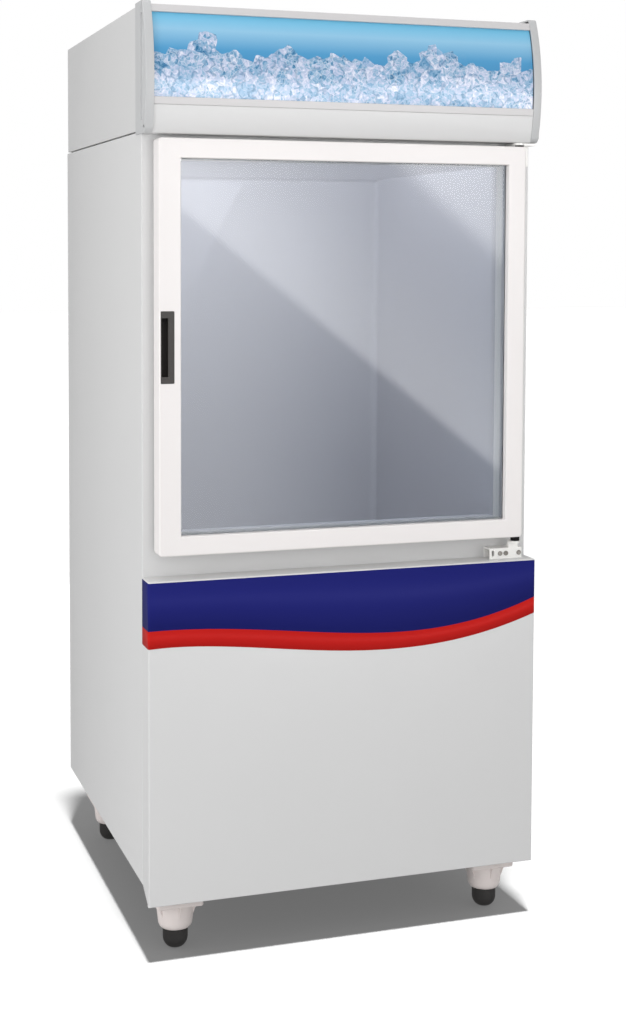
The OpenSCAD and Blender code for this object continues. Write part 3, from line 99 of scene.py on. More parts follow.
# Corners that lie this close become one: in a turned shape, in a piece, and (in metres) in a
# carried-over solid.
LATHE_WELD = 0.001
PIECE_WELD = 0.002
SOLID_WELD = 0.000004
# Angles between faces, in degrees: the most that shades as one, and the least that is rounded.
SOLID_SMOOTH = 30.0
PIECE_SMOOTH = 34.0
WELL_SMOOTH = 40.0
ROUNDED_FROM = 40.0
BUMP_STRENGTH = 0.6
COAT_ROUGH = 0.08
WHITE_LIGHT = (1.0, 1.0, 1.0, 1.0)


class Body(str, Enum):
    """The bodies that a piece made here can ride on; a foot's tip names its own."""

    CABINET = "cabinet"
    DOOR = "door"


class Pattern(Enum):
    """What the eye finds in a finish when it looks closely."""

    PLAIN = "fine grain only"
    SPANGLE = "zinc crystals"
    BRUSHED = "fine lines along X"
    DRAWN = "fine lines along Z"
    TARNISH = "patches of brown on bare metal"
    SPECKLE = "matte specks"


def srgb(red: float, green: float, blue: float) -> Triple:
    """Colour as a screen shows it, by the curve of the sRGB standard.

    Args:
        red: Red from 0 to 255.
        green: Green from 0 to 255.
        blue: Blue from 0 to 255.

    Returns:
        The same colour in linear light.
    """
    def linear(value: float) -> float:
        """One channel in linear light."""
        share = value / 255
        return share / 12.92 if share <= 0.04045 else ((share + 0.055) / 1.055) ** 2.4
    return linear(red), linear(green), linear(blue)


# ---------------------------------------------------------------- shader building

class Graph:
    """Places and wires the nodes of a material or a node group."""

    def __init__(self, tree: bpy.types.NodeTree) -> None:
        """Starts from an empty tree."""
        self.tree = tree
        tree.nodes.clear()

    def add(self, kind: str, sockets: dict | None = None, **settings: object) -> Node:
        """Adds one node.

        Args:
            kind: Blender's name of the node.
            sockets: Values or outgoing sockets by input name or number.
            **settings: Properties of the node itself.

        Returns:
            The node.
        """
        node = self.tree.nodes.new(kind)
        for name, value in settings.items():
            setattr(node, name, value)
        for key, value in (sockets or {}).items():
            if isinstance(value, bpy.types.NodeSocket):
                self.tree.links.new(value, node.inputs[key])
            else:
                node.inputs[key].default_value = value
        return node

    def math(self, operation: str, *values: object) -> Socket:
        """Result of one arithmetic step."""
        return self.add("ShaderNodeMath", dict(enumerate(values)), operation=operation).outputs[0]

    def vector(self, operation: str, sockets: dict) -> Socket:
        """Result of one step on vectors."""
        return self.add("ShaderNodeVectorMath", sockets, operation=operation).outputs[0]

    def axes(self, vector: Socket) -> Outputs:
        """X, Y and Z of a vector."""
        return self.add("ShaderNodeSeparateXYZ", {0: vector}).outputs

    def channels(self, color: Socket) -> Outputs:
        """Red, green and blue of a colour."""
        return self.add("ShaderNodeSeparateColor", {0: color}).outputs

    def blend(self, share: object, low: object, high: object) -> Socket:
        """Mix of two colours."""
        sockets = {0: share, 6: low, 7: high}
        return self.add("ShaderNodeMix", sockets, data_type="RGBA").outputs[2]

    def span(self, value: object, low: float, high: float, to_low: float = 0.0,
             to_high: float = 1.0, smooth: bool = False) -> Socket:
        """Value stretched from one range to another and clamped."""
        sockets = {0: value, 1: low, 2: high, 3: to_low, 4: to_high}
        kind = "SMOOTHSTEP" if smooth else "LINEAR"
        return self.add("ShaderNodeMapRange", sockets, interpolation_type=kind).outputs[0]

    def noise(self, place: Socket, scale: object, detail: float = 2.0) -> Socket:
        """Soft noise between 0 and 1."""
        sockets = {"Vector": place, "Scale": scale, "Detail": detail}
        return self.add("ShaderNodeTexNoise", sockets).outputs[0]

    def place(self, stretch: Triple = (1.0, 1.0, 1.0)) -> Socket:
        """Object coordinates, stretched along the axes."""
        coords = self.add("ShaderNodeTexCoord").outputs["Object"]
        return self.add("ShaderNodeMapping", {"Vector": coords, "Scale": stretch}).outputs[0]

    def effect(self, effect: "Effect", sockets: dict | None = None) -> Outputs:
        """Outputs of an effect that is placed with these inputs."""
        return self.add("ShaderNodeGroup", sockets, node_tree=effect.tree()).outputs

    def show(self, shader: Node) -> None:
        """Makes a shader what the material shows."""
        self.add("ShaderNodeOutputMaterial", {"Surface": shader.outputs[0]})


def new_material(name: str) -> tuple[Material, Graph]:
    """A new material and its empty graph."""
    made = bpy.data.materials.new(name)
    made.use_nodes = True
    return made, Graph(made.node_tree)


@dataclass(frozen=True)
class Effect:
    """A shader node group with named inputs and outputs, built once."""

    name: str
    inputs: tuple[tuple[str, str], ...]
    outputs: tuple[tuple[str, str], ...]

    def tree(self) -> bpy.types.NodeTree:
        """The group, made on first use."""
        made = bpy.data.node_groups.get(self.name)
        if made:
            return made
        made = bpy.data.node_groups.new(self.name, "ShaderNodeTree")
        for way, sockets in (("INPUT", self.inputs), ("OUTPUT", self.outputs)):
            for name, kind in sockets:
                made.interface.new_socket(name, in_out=way, socket_type="NodeSocket" + kind)
        graph = Graph(made)
        start = graph.add("NodeGroupInput")
        end = graph.add("NodeGroupOutput")
        for name, socket in self.wire(graph, start.outputs).items():
            made.links.new(socket, end.inputs[name])
        return made

    def wire(self, graph: Graph, inp: Outputs) -> dict[str, Socket]:
        """Fills the group; each effect has its own way."""
        raise NotImplementedError


class GrainEffect(Effect):
    """Slow drift of colour, uneven gloss and a fine relief."""

    DETAIL = 3.0
    MIDDLE = 0.5
    FINE_GLOSS = 0.06

    def wire(self, graph: Graph, inp: Outputs) -> dict[str, Socket]:
        """Wires two sizes of noise to colour, roughness and height."""
        place = graph.place()
        slow = graph.noise(place, inp["Patch scale"], self.DETAIL)
        centred = graph.math("SUBTRACT", slow, self.MIDDLE)
        gain = graph.math("MULTIPLY_ADD", centred, inp["Drift"], 1.0)
        shade = graph.vector("SCALE", {0: inp["Color"], "Scale": gain})
        fine = graph.noise(place, inp["Grain scale"], self.DETAIL)
        off = graph.math("SUBTRACT", fine, self.MIDDLE)
        uneven = graph.math("MULTIPLY_ADD", off, self.FINE_GLOSS, inp["Roughness"])
        rough = graph.math("MULTIPLY_ADD", centred, inp["Uneven gloss"], uneven)
        return {"Color": shade, "Roughness": rough, "Height": fine}


class DustEffect(Effect):
    """Dust that settles on faces which look up, thicker in patches."""

    UPWARD = (0.6, 1.0)
    PATCH_SCALE = 14.0
    PATCH_DETAIL = 4.0
    PATCHES = (0.3, 0.7, 0.35, 1.0)
    TONE = (*srgb(176, 172, 164), 1.0)
    ROUGH = 0.85

    def wire(self, graph: Graph, inp: Outputs) -> dict[str, Socket]:
        """Wires the upward share of the normal to colour and roughness."""
        normal = graph.add("ShaderNodeNewGeometry").outputs["Normal"]
        flat = graph.span(graph.axes(normal)["Z"], *self.UPWARD, smooth=True)
        noise = graph.noise(graph.place(), self.PATCH_SCALE, self.PATCH_DETAIL)
        patches = graph.span(noise, *self.PATCHES)
        share = graph.math("MULTIPLY", graph.math("MULTIPLY", flat, patches), inp["Amount"])
        color = graph.blend(share, inp["Color"], self.TONE)
        rise = graph.math("SUBTRACT", self.ROUGH, inp["Roughness"])
        rough = graph.math("MULTIPLY_ADD", share, rise, inp["Roughness"])
        return {"Color": color, "Roughness": rough}


class PatternEffect(Effect):
    """Crystals, drawn lines, tarnish or specks, as a mask and a height."""

    CRYSTALS = 95.0
    STAINS = (38.0, 5.0)
    STAIN_RANGE = (0.42, 0.72)
    SPECKS = (900.0, 1.0)
    SPECK_RANGE = (0.55, 0.75)
    ALONG = 4.0
    ACROSS = 1400.0

    def wire(self, graph: Graph, inp: Outputs) -> dict[str, Socket]:
        """Wires the pattern that the group's name ends in."""
        kind = Pattern[self.name.rsplit(" ", 1)[1]]
        if kind is Pattern.SPANGLE:
            sockets = {"Vector": graph.place(), "Scale": self.CRYSTALS}
            cells = graph.add("ShaderNodeTexVoronoi", sockets)
            mask = graph.channels(cells.outputs["Color"])[0]
        elif kind is Pattern.TARNISH:
            stains = graph.noise(graph.place(), *self.STAINS)
            mask = graph.span(stains, *self.STAIN_RANGE, smooth=True)
        elif kind is Pattern.SPECKLE:
            mask = graph.span(graph.noise(graph.place(), *self.SPECKS), *self.SPECK_RANGE)
        else:
            stretch = (self.ALONG, self.ACROSS, self.ACROSS)
            stretch = stretch if kind is Pattern.BRUSHED else stretch[::-1]
            mask = graph.noise(graph.place(stretch), 1.0)
        return {"Mask": mask, "Height": mask}


GRAIN = GrainEffect(
    "paint grain",
    (("Color", "Color"), ("Roughness", "Float"), ("Drift", "Float"), ("Patch scale", "Float"),
     ("Grain scale", "Float"), ("Uneven gloss", "Float")),
    (("Color", "Color"), ("Roughness", "Float"), ("Height", "Float")),
)
DUST = DustEffect(
    "settled dust",
    (("Color", "Color"), ("Roughness", "Float"), ("Amount", "Float")),
    (("Color", "Color"), ("Roughness", "Float")),
)


def pattern_effect(kind: Pattern) -> PatternEffect:
    """The group for one pattern."""
    return PatternEffect(f"pattern {kind.name}", (), (("Mask", "Float"), ("Height", "Float")))


# ---------------------------------------------------------------- finishes

@dataclass(frozen=True)
class Coating:
    """A surface that a piece can have."""

    name: str

    def material(self) -> Material:
        """The Blender material, made on first use."""
        made = bpy.data.materials.get(self.name)
        if not made:
            made, graph = new_material(self.name)
            graph.show(self.shader(graph))
        return made

    def shader(self, graph: Graph) -> Node:
        """Wires the surface's shader; each kind has its own way."""
        raise NotImplementedError


@dataclass(frozen=True)
class Finish(Coating):
    """A surface finish and what it needs from the shader."""

    color: Triple
    rough: float = 0.4
    metal: float = 0.0
    coat: float = 0.0
    specular: float = 0.5
    drift: float = 0.05
    patch_mm: float = 180.0
    grain_mm: float = 1.6
    relief_mm: float = 0.02
    uneven: float = 0.06
    dust: float = 0.0
    pattern: Pattern = Pattern.PLAIN
    accent: Triple = (0.5, 0.5, 0.5)
    accent_share: float = 0.0

    def material(self) -> Material:
        """The Blender material, with its plain colour for solid views."""
        made = super().material()
        made.diffuse_color = (*self.color, 1.0)
        return made

    def shader(self, graph: Graph) -> Node:
        """Principled shader over the colour, gloss and relief of the surface."""
        color, rough, height = self.surface(graph)
        bump = graph.add("ShaderNodeBump", {
            "Height": height, "Strength": BUMP_STRENGTH, "Distance": self.relief_mm * MM})
        return graph.add("ShaderNodeBsdfPrincipled", {
            "Base Color": color, "Roughness": rough, "Normal": bump.outputs[0],
            "Metallic": self.metal, "Coat Weight": self.coat, "Coat Roughness": COAT_ROUGH,
            "Specular IOR Level": self.specular,
        })

    def surface(self, graph: Graph) -> tuple[object, object, object]:
        """Colour, roughness and height of the surface.

        Args:
            graph: The material's nodes.

        Returns:
            The three sockets that vary over the surface.
        """
        color: object = (*self.color, 1.0)
        height = None
        if self.pattern is not Pattern.PLAIN:
            mask = graph.effect(pattern_effect(self.pattern))
            share = graph.math("MULTIPLY", mask["Mask"], self.accent_share)
            color = graph.blend(share, color, (*self.accent, 1.0))
            height = mask["Height"]
        grain = graph.effect(GRAIN, {
            "Color": color, "Roughness": self.rough, "Drift": self.drift,
            "Patch scale": METRE / self.patch_mm, "Grain scale": METRE / self.grain_mm,
            "Uneven gloss": self.uneven,
        })
        color, rough = grain["Color"], grain["Roughness"]
        if self.dust:
            dust = graph.effect(DUST, {"Color": color, "Roughness": rough, "Amount": self.dust})
            color, rough = dust["Color"], dust["Roughness"]
        return color, rough, height or grain["Height"]


@dataclass(frozen=True)
class GlassFinish(Coating):
    """Clear float glass with a faint tint and finger haze; lamps shine through it."""

    name: str = "float glass"
    tint: Triple = (0.97, 0.98, 0.99)
    shade: Triple = (0.74, 0.77, 0.80)
    ior: float = 1.45
    smear_scale: float = 5.0
    smear_detail: float = 4.0
    smear_range: Pair = (0.45, 0.9)
    smear_rough: float = 0.025

    def shader(self, graph: Graph) -> Node:
        """Glass to the eye, and a clear tint to the lamps."""
        smear = graph.noise(graph.place(), self.smear_scale, self.smear_detail)
        haze = graph.span(smear, *self.smear_range, 0.0, self.smear_rough)
        glass = graph.add("ShaderNodeBsdfPrincipled", {
            "Base Color": (*self.tint, 1.0), "Roughness": haze, "IOR": self.ior,
            "Transmission Weight": 1.0, "Metallic": 0.0,
        })
        clear = graph.add("ShaderNodeBsdfTransparent", {0: (*self.shade, 1.0)})
        rays = graph.add("ShaderNodeLightPath")
        return graph.add("ShaderNodeMixShader", {
            0: rays.outputs["Is Shadow Ray"], 1: glass.outputs[0], 2: clear.outputs[0],
        })


@dataclass(frozen=True)
class IcePrintFinish(Coating):
    """Backlit print of the header: a cold sky over a heap of broken ice, drawn by cells."""

    name: str = "ice print"
    low_z: float = 1526.0
    high_z: float = 1698.0
    sky: tuple[tuple[float, Triple], ...] = (
        (0.40, srgb(52, 134, 186)), (0.56, srgb(74, 152, 200)), (0.76, srgb(142, 194, 224)),
        (0.90, srgb(108, 186, 222)), (1.0, srgb(66, 170, 212)),
    )
    tones: tuple[tuple[float, Triple], ...] = (
        (0.12, srgb(40, 108, 152)), (0.26, srgb(96, 150, 190)), (0.44, srgb(142, 176, 206)),
        (0.62, srgb(178, 190, 218)), (0.85, srgb(222, 226, 240)),
    )
    heap_cells: float = 60.0
    heap_roll: float = 9.0
    heap_top: Pair = (1.592, 1.652)
    heap_edge: float = 0.001
    lumps: float = 44.0
    chips: float = 130.0
    veins: float = 110.0
    vein_bend: float = 1.6
    warp_scale: float = 60.0
    warp: float = 0.012
    crack: Triple = srgb(44, 112, 158)
    crack_share: float = 0.8
    spark: Triple = srgb(246, 248, 252)
    spark_share: float = 0.4
    gloss: Pair = (0.22, 0.30)
    coat: float = 0.4

    def shader(self, graph: Graph) -> Node:
        """Sky above the heap, ice within it."""
        place = graph.place()
        level = graph.span(graph.axes(place)["Z"], self.low_z * MM, self.high_z * MM)
        sky = self.ramp(graph, level, self.sky)
        ice, edge = self.ice(graph, place)
        heap = self.heap(graph, place)
        color = graph.blend(heap, sky, ice)
        rough = graph.span(graph.math("MULTIPLY", edge, heap), 0.0, 1.0, *self.gloss)
        return graph.add("ShaderNodeBsdfPrincipled", {
            "Base Color": color, "Roughness": rough, "Coat Weight": self.coat,
            "Coat Roughness": COAT_ROUGH,
        })

    @staticmethod
    def ramp(graph: Graph, value: Socket, stops: Sequence[tuple[float, Triple]]) -> Socket:
        """Colour that runs through several stops.

        Args:
            graph: The material's nodes.
            value: Where on the ramp, from 0 to 1.
            stops: Place and colour of each stop.

        Returns:
            The colour socket.
        """
        node = graph.add("ShaderNodeValToRGB", {0: value})
        elements = node.color_ramp.elements
        while len(elements) < len(stops):
            elements.new(0.5)
        for element, (at, color) in zip(elements, stops):
            element.position = at
            element.color = (*color, 1.0)
        return node.outputs[0]

    @staticmethod
    def cells(graph: Graph, place: Socket, scale: float, feature: str = "F1") -> Outputs:
        """Cells in space, which the panel's face cuts through."""
        sockets = {"Vector": place, "Scale": scale}
        return graph.add("ShaderNodeTexVoronoi", sockets, feature=feature).outputs

    def heap(self, graph: Graph, place: Socket) -> Socket:
        """Mask of the heap: whole cells whose middle lies under a rolling line."""
        middle = graph.axes(self.cells(graph, place, self.heap_cells)["Position"])
        run = graph.add("ShaderNodeCombineXYZ", {0: middle["X"]}).outputs[0]
        line = graph.span(graph.noise(run, self.heap_roll), 0.3, 0.7, *self.heap_top)
        under = graph.math("SUBTRACT", line, middle["Z"])
        return graph.span(under, -self.heap_edge, self.heap_edge)

    def warped(self, graph: Graph, place: Socket) -> Socket:
        """Places pushed about a little, so that the cells' edges bend."""
        sockets = {"Vector": place, "Scale": self.warp_scale, "Detail": 3.0}
        bend = graph.add("ShaderNodeTexNoise", sockets).outputs["Color"]
        push = graph.vector("SUBTRACT", {0: bend, 1: (0.5, 0.5, 0.5)})
        small = graph.vector("SCALE", {0: push, "Scale": self.warp})
        return graph.vector("ADD", {0: place, 1: small})

    def ice(self, graph: Graph, place: Socket) -> tuple[Socket, Socket]:
        """Colour of the broken ice and the mask of its edges.

        Args:
            graph: The material's nodes.
            place: Where on the print.

        Returns:
            The colour socket and the socket of the lumps' edges.
        """
        warped = self.warped(graph, place)
        large = graph.channels(self.cells(graph, warped, self.lumps)["Color"])
        chips = graph.channels(self.cells(graph, warped, self.chips)["Color"])
        veins = graph.add("ShaderNodeTexNoise", {
            "Vector": warped, "Scale": self.veins, "Detail": 4.0, "Distortion": self.vein_bend})
        streak = graph.span(veins.outputs[0], 0.32, 0.68, 0.0, 0.40)
        lumps = graph.math("MULTIPLY", large[1], 0.24)
        facets = graph.math("MULTIPLY_ADD", chips[0], 0.36, lumps)
        body = self.ramp(graph, graph.math("ADD", facets, streak), self.tones)
        gap = self.cells(graph, warped, self.lumps, "DISTANCE_TO_EDGE")["Distance"]
        rim = graph.span(gap, 0.0, 0.10, 1.0, 0.0)
        chip_gap = self.cells(graph, warped, self.chips, "DISTANCE_TO_EDGE")["Distance"]
        chip_rim = graph.span(chip_gap, 0.0, 0.09, 1.0, 0.0)
        glint = graph.math("MULTIPLY", chip_rim, graph.span(large[2], 0.35, 0.6))
        shadow = graph.math("MULTIPLY", rim, graph.span(chips[2], 0.45, 0.6))
        for mask, share, tone in ((shadow, self.crack_share, self.crack),
                                  (glint, self.spark_share, self.spark)):
            body = graph.blend(graph.math("MULTIPLY", mask, share), body, (*tone, 1.0))
        return body, rim


class Paint:
    """The freezer's finishes by name."""

    SHEET = Finish("powder coat", srgb(210, 210, 210), 0.36, coat=0.12, drift=0.02,
                   relief_mm=0.012, dust=0.15)
    VALANCE = Finish("header coat", srgb(213, 213, 213), 0.36, coat=0.12, drift=0.02,
                     relief_mm=0.012)
    CAP = Finish("moulded cap", srgb(189, 190, 191), 0.42, drift=0.03, grain_mm=0.9,
                 relief_mm=0.03, dust=0.2)
    STRIP = Finish("extruded strip", srgb(200, 198, 199), 0.34, drift=0.02, relief_mm=0.006,
                   pattern=Pattern.BRUSHED, accent=srgb(214, 213, 213), accent_share=0.3)
    GALVANISED = Finish("galvanised", srgb(168, 171, 173), 0.42, metal=0.85, relief_mm=0.01,
                        uneven=0.15, dust=0.25, pattern=Pattern.SPANGLE,
                        accent=srgb(205, 208, 210), accent_share=0.5)
    HINGE = Finish("white zinc", srgb(238, 237, 234), 0.36, metal=0.1, coat=0.1, patch_mm=20)
    ZINC = Finish("dulled zinc", srgb(146, 143, 138), 0.38, metal=0.75, relief_mm=0.01,
                  pattern=Pattern.TARNISH, accent=srgb(92, 86, 78), accent_share=0.6)
    ALUMINIUM = Finish("mill aluminium", srgb(205, 207, 209), 0.32, metal=0.9, relief_mm=0.01,
                       dust=0.2, pattern=Pattern.DRAWN, accent=srgb(165, 168, 171),
                       accent_share=0.4)
    COPPER = Finish("copper tube", srgb(196, 122, 84), 0.30, metal=1.0, uneven=0.25,
                    pattern=Pattern.TARNISH, accent=srgb(118, 72, 50), accent_share=0.75)
    FRAME_STEEL = Finish("dark frame coat", srgb(62, 62, 64), 0.5, drift=0.1, relief_mm=0.04,
                         dust=0.4)
    ENAMEL = Finish("black enamel", srgb(24, 24, 26), 0.22, coat=0.5, drift=0.12,
                    relief_mm=0.03, dust=0.35)
    WIRE = Finish("plastic-coated wire", srgb(232, 233, 232), 0.28, coat=0.3)
    LINER = Finish("vacuum-formed liner", srgb(168, 170, 179), 0.6, specular=0.3, drift=0.03,
                   patch_mm=400, grain_mm=3.0, relief_mm=0.0)
    WHITE = Finish("white plastic", srgb(232, 232, 229), 0.36, drift=0.02, relief_mm=0.015)
    DOOR_WHITE = Finish("door frame white", srgb(233, 229, 228), 0.34, coat=0.1, specular=0.3,
                        drift=0.012, relief_mm=0.01)
    GASKET = Finish("gasket vinyl", srgb(150, 149, 147), 0.55, drift=0.06, relief_mm=0.03)
    HANDLE = Finish("handle plastic", srgb(52, 48, 46), 0.5, drift=0.08, patch_mm=25,
                    grain_mm=0.7, relief_mm=0.05, pattern=Pattern.SPECKLE,
                    accent=srgb(74, 70, 66), accent_share=0.5)
    BLACK = Finish("black plastic", srgb(30, 30, 31), 0.42, drift=0.08, grain_mm=0.8,
                   relief_mm=0.03, dust=0.2)
    BUSHING = Finish("oiled nylon", srgb(14, 13, 13), 0.5, specular=0.15, drift=0.1,
                     grain_mm=0.8)
    RED = Finish("red lens plastic", srgb(178, 28, 24), 0.2, coat=0.5)
    BLUE_FILM = Finish("blue film", srgb(30, 34, 111), 0.5, specular=0.06, drift=0.03,
                       relief_mm=0.008)
    RED_FILM = Finish("red film", srgb(190, 26, 22), 0.5, specular=0.08, drift=0.03,
                      relief_mm=0.008)
    FOOT = Finish("foot plastic", srgb(220, 211, 208), 0.42, drift=0.06, patch_mm=40,
                  grain_mm=1.0, relief_mm=0.04)
    RUBBER = Finish("foot rubber", srgb(34, 32, 31), 0.62, drift=0.2, patch_mm=30,
                    grain_mm=0.8, relief_mm=0.06, pattern=Pattern.SPECKLE,
                    accent=srgb(66, 62, 58), accent_share=0.4)
    FOAM = Finish("rigid foam", srgb(222, 206, 160), 0.85, drift=0.15, grain_mm=1.2,
                  relief_mm=0.4)
    LAMP = Finish("lamp phosphor", srgb(244, 245, 246), 0.25, coat=0.4, drift=0.01)
    GLASS = GlassFinish()
    ICE = IcePrintFinish()


# ---------------------------------------------------------------- mesh building

def put(name: str, data: bpy.types.ID) -> Object:
    """Puts data in the scene as an object of that name."""
    obj = bpy.data.objects.new(name, data)
    bpy.context.scene.collection.objects.link(obj)
    return obj


def add_wall(obj: Object, wall: float, even: bool = True) -> None:
    """Gives an open sheet a thickness behind its faces.

    Args:
        obj: The object.
        wall: The thickness in millimetres.
        even: Whether it is kept round sharp folds too.
    """
    shell = obj.modifiers.new("wall", "SOLIDIFY")
    shell.thickness = wall * MM
    shell.offset = -1.0
    shell.use_even_offset = even


def add_softening(obj: Object, width: float, steps: int = 2) -> None:
    """Adds a modifier that rounds every sharp edge.

    Args:
        obj: The object.
        width: Width of the rounding in millimetres.
        steps: Its facets.
    """
    bevel = obj.modifiers.new("softened edges", "BEVEL")
    bevel.width = width * MM
    bevel.segments = steps
    bevel.limit_method = "ANGLE"
    bevel.angle_limit = math.radians(ROUNDED_FROM)
    bevel.harden_normals = True


class Form:
    """A mesh under construction, in millimetres, shaped by bmesh operators."""

    def __init__(self) -> None:
        """Starts empty."""
        self.bm = bmesh.new()

    def block(self, low: Triple, high: Triple) -> None:
        """Adds a box between two opposite corners."""
        a, b = Vector(low), Vector(high)
        place = Matrix.LocRotScale((a + b) / 2, None, b - a)
        bmesh.ops.create_cube(self.bm, size=1.0, matrix=place)

    def face(self, corners: Iterable[Triple]) -> None:
        """Adds one face through a few corners."""
        self.bm.faces.new([self.bm.verts.new(p) for p in corners])

    def panel(self, low: Pair, high: Pair, y: float) -> None:
        """Adds an upright rectangle at y between two corners in X and Z."""
        (x0, z0), (x1, z1) = low, high
        self.face([(x0, y, z0), (x1, y, z0), (x1, y, z1), (x0, y, z1)])

    def chain(self, points: Sequence[Triple]) -> list[BMEdge]:
        """Adds a chain of edges through a few points."""
        verts = [self.bm.verts.new(p) for p in points]
        return [self.bm.edges.new(pair) for pair in zip(verts, verts[1:])]

    def faces(self, test: Test) -> list[BMFace]:
        """Faces whose middle passes the test."""
        return [f for f in self.bm.faces if test(f.calc_center_median())]

    def largest(self, test: Test) -> BMFace:
        """The largest face whose middle passes the test."""
        return max(self.faces(test), key=lambda f: f.calc_area())

    def edges(self, test: Test) -> list[BMEdge]:
        """Edges with both ends passing the test."""
        return [e for e in self.bm.edges if all(test(v.co) for v in e.verts)]

    @staticmethod
    def folds(edges: Iterable[BMEdge]) -> list[BMEdge]:
        """Those of the edges that two faces share, each once."""
        return [e for e in dict.fromkeys(edges) if len(e.link_faces) == 2]

    @staticmethod
    def whole(faces: Iterable[BMFace]) -> list[object]:
        """Faces with all their edges and corners."""
        return list(dict.fromkeys(part for f in faces for part in (f, *f.edges, *f.verts)))

    def push(self, faces: Iterable[BMFace], move: Triple) -> list[BMFace]:
        """Extrudes faces and moves the new ones.

        Args:
            faces: Faces of one region.
            move: How far the new faces go.

        Returns:
            The moved faces.
        """
        made = bmesh.ops.extrude_face_region(self.bm, geom=self.whole(faces))["geom"]
        verts = [g for g in made if isinstance(g, BMVert)]
        bmesh.ops.translate(self.bm, vec=move, verts=verts)
        return [g for g in made if isinstance(g, BMFace)]

    def sweep(self, edges: Iterable[BMEdge], move: Triple) -> None:
        """Extrudes edges into a strip that ends as far away as the move says."""
        made = bmesh.ops.extrude_edge_only(self.bm, edges=list(edges))["geom"]
        verts = [g for g in made if isinstance(g, BMVert)]
        bmesh.ops.translate(self.bm, vec=move, verts=verts)

    def spin(self, geom: Iterable[object], centre: Triple, axis: Triple, degrees: float,
             steps: int) -> None:
        """Turns edges or verts about an axis into a swept surface."""
        bmesh.ops.spin(self.bm, geom=list(geom), cent=centre, axis=axis,
                       angle=math.radians(degrees), steps=steps,
                       use_merge=abs(degrees) == 360, use_duplicate=False)

    def lathe(self, profile: Sequence[Pair], centre: Triple, steps: int = 48) -> None:
        """Adds a shape turned about an upright axis.

        Args:
            profile: Radius and height of each point, from the lowest to the highest.
            centre: Where height is zero.
            steps: Number of facets round the axis.
        """
        form = Form()
        edges = form.chain([(r, 0.0, h) for r, h in profile])
        form.spin([*form.bm.verts, *edges], (0, 0, 0), (0, 0, 1), 360, steps)
        bmesh.ops.remove_doubles(form.bm, verts=form.bm.verts, dist=LATHE_WELD)
        self.join(form, centre)

    def cut(self, point: Triple, normal: Triple, faces: Iterable[BMFace] | None = None,
            clear: bool = False) -> None:
        """Cuts the mesh along a plane.

        Args:
            point: A point of the plane.
            normal: Direction at right angles to it.
            faces: The faces to cut, or nothing for all of them.
            clear: Whether what lies on the normal's side goes.
        """
        parts = ([*self.bm.verts, *self.bm.edges, *self.bm.faces] if faces is None
                 else self.whole(faces))
        bmesh.ops.bisect_plane(self.bm, geom=parts, plane_co=point, plane_no=normal,
                               clear_outer=clear, dist=CUT_REACH)

    def cap_holes(self) -> None:
        """Closes open boundaries."""
        rims = [e for e in self.bm.edges if e.is_boundary]
        bmesh.ops.holes_fill(self.bm, edges=rims, sides=0)

    def window(self, low: Pair, high: Pair, within: Test | None = None) -> None:
        """Cuts the mesh along the four sides of a rectangle in X and Z.

        Args:
            low: Its lowest corner.
            high: Its highest corner.
            within: Which faces are cut, or nothing for all of them.
        """
        for axis, normal in ((0, (1, 0, 0)), (1, (0, 0, 1))):
            for at in (low[axis], high[axis]):
                faces = self.faces(within) if within else None
                self.cut(tuple(at * n for n in normal), normal, faces)

    def drop(self, faces: Iterable[BMFace]) -> None:
        """Deletes faces."""
        bmesh.ops.delete(self.bm, geom=list(faces), context="FACES")

    def punch(self, low: Pair, high: Pair) -> None:
        """Cuts a rectangle in X and Z out of the mesh."""
        self.window(low, high)
        self.drop(self.faces(lambda c: low[0] < c.x < high[0] and low[1] < c.z < high[1]))

    def bevel(self, geom: Iterable[object], radius: float, steps: int, affect: str) -> None:
        """Rounds edges, or the corners of a flat face."""
        bmesh.ops.bevel(self.bm, geom=list(geom), offset=radius, offset_type="OFFSET",
                        segments=steps, profile=0.5, affect=affect, material=-1,
                        clamp_overlap=True)

    def round(self, edges: Iterable[BMEdge], radius: float, steps: int = 3) -> None:
        """Rounds edges."""
        self.bevel(edges, radius, steps, "EDGES")

    def round_corners(self, verts: Iterable[BMVert], radius: float, steps: int = 4) -> None:
        """Rounds corners of a flat face."""
        self.bevel(verts, radius, steps, "VERTICES")

    def inset(self, faces: Iterable[BMFace], width: float) -> None:
        """Parts a border of even width from a region of faces."""
        bmesh.ops.inset_region(self.bm, faces=list(faces), thickness=width,
                               use_even_offset=True)

    def align(self) -> None:
        """Turns all faces to look outwards."""
        bmesh.ops.recalc_face_normals(self.bm, faces=self.bm.faces)

    def flip(self) -> None:
        """Turns all faces over."""
        bmesh.ops.reverse_faces(self.bm, faces=self.bm.faces)

    def join(self, other: "Form", move: Triple = (0, 0, 0)) -> None:
        """Adds another form's mesh and ends that form."""
        mesh = bpy.data.meshes.new("joining")
        bmesh.ops.translate(other.bm, vec=move, verts=other.bm.verts)
        other.bm.to_mesh(mesh)
        other.bm.free()
        self.bm.from_mesh(mesh)
        bpy.data.meshes.remove(mesh)

    def copy(self) -> "Form":
        """A copy of the form."""
        twin = Form()
        twin.bm = self.bm.copy()
        return twin

    def mirrored(self) -> "Form":
        """A copy mirrored across the cabinet."""
        twin = self.copy()
        bmesh.ops.scale(twin.bm, vec=(-1, 1, 1), verts=twin.bm.verts)
        twin.flip()
        return twin

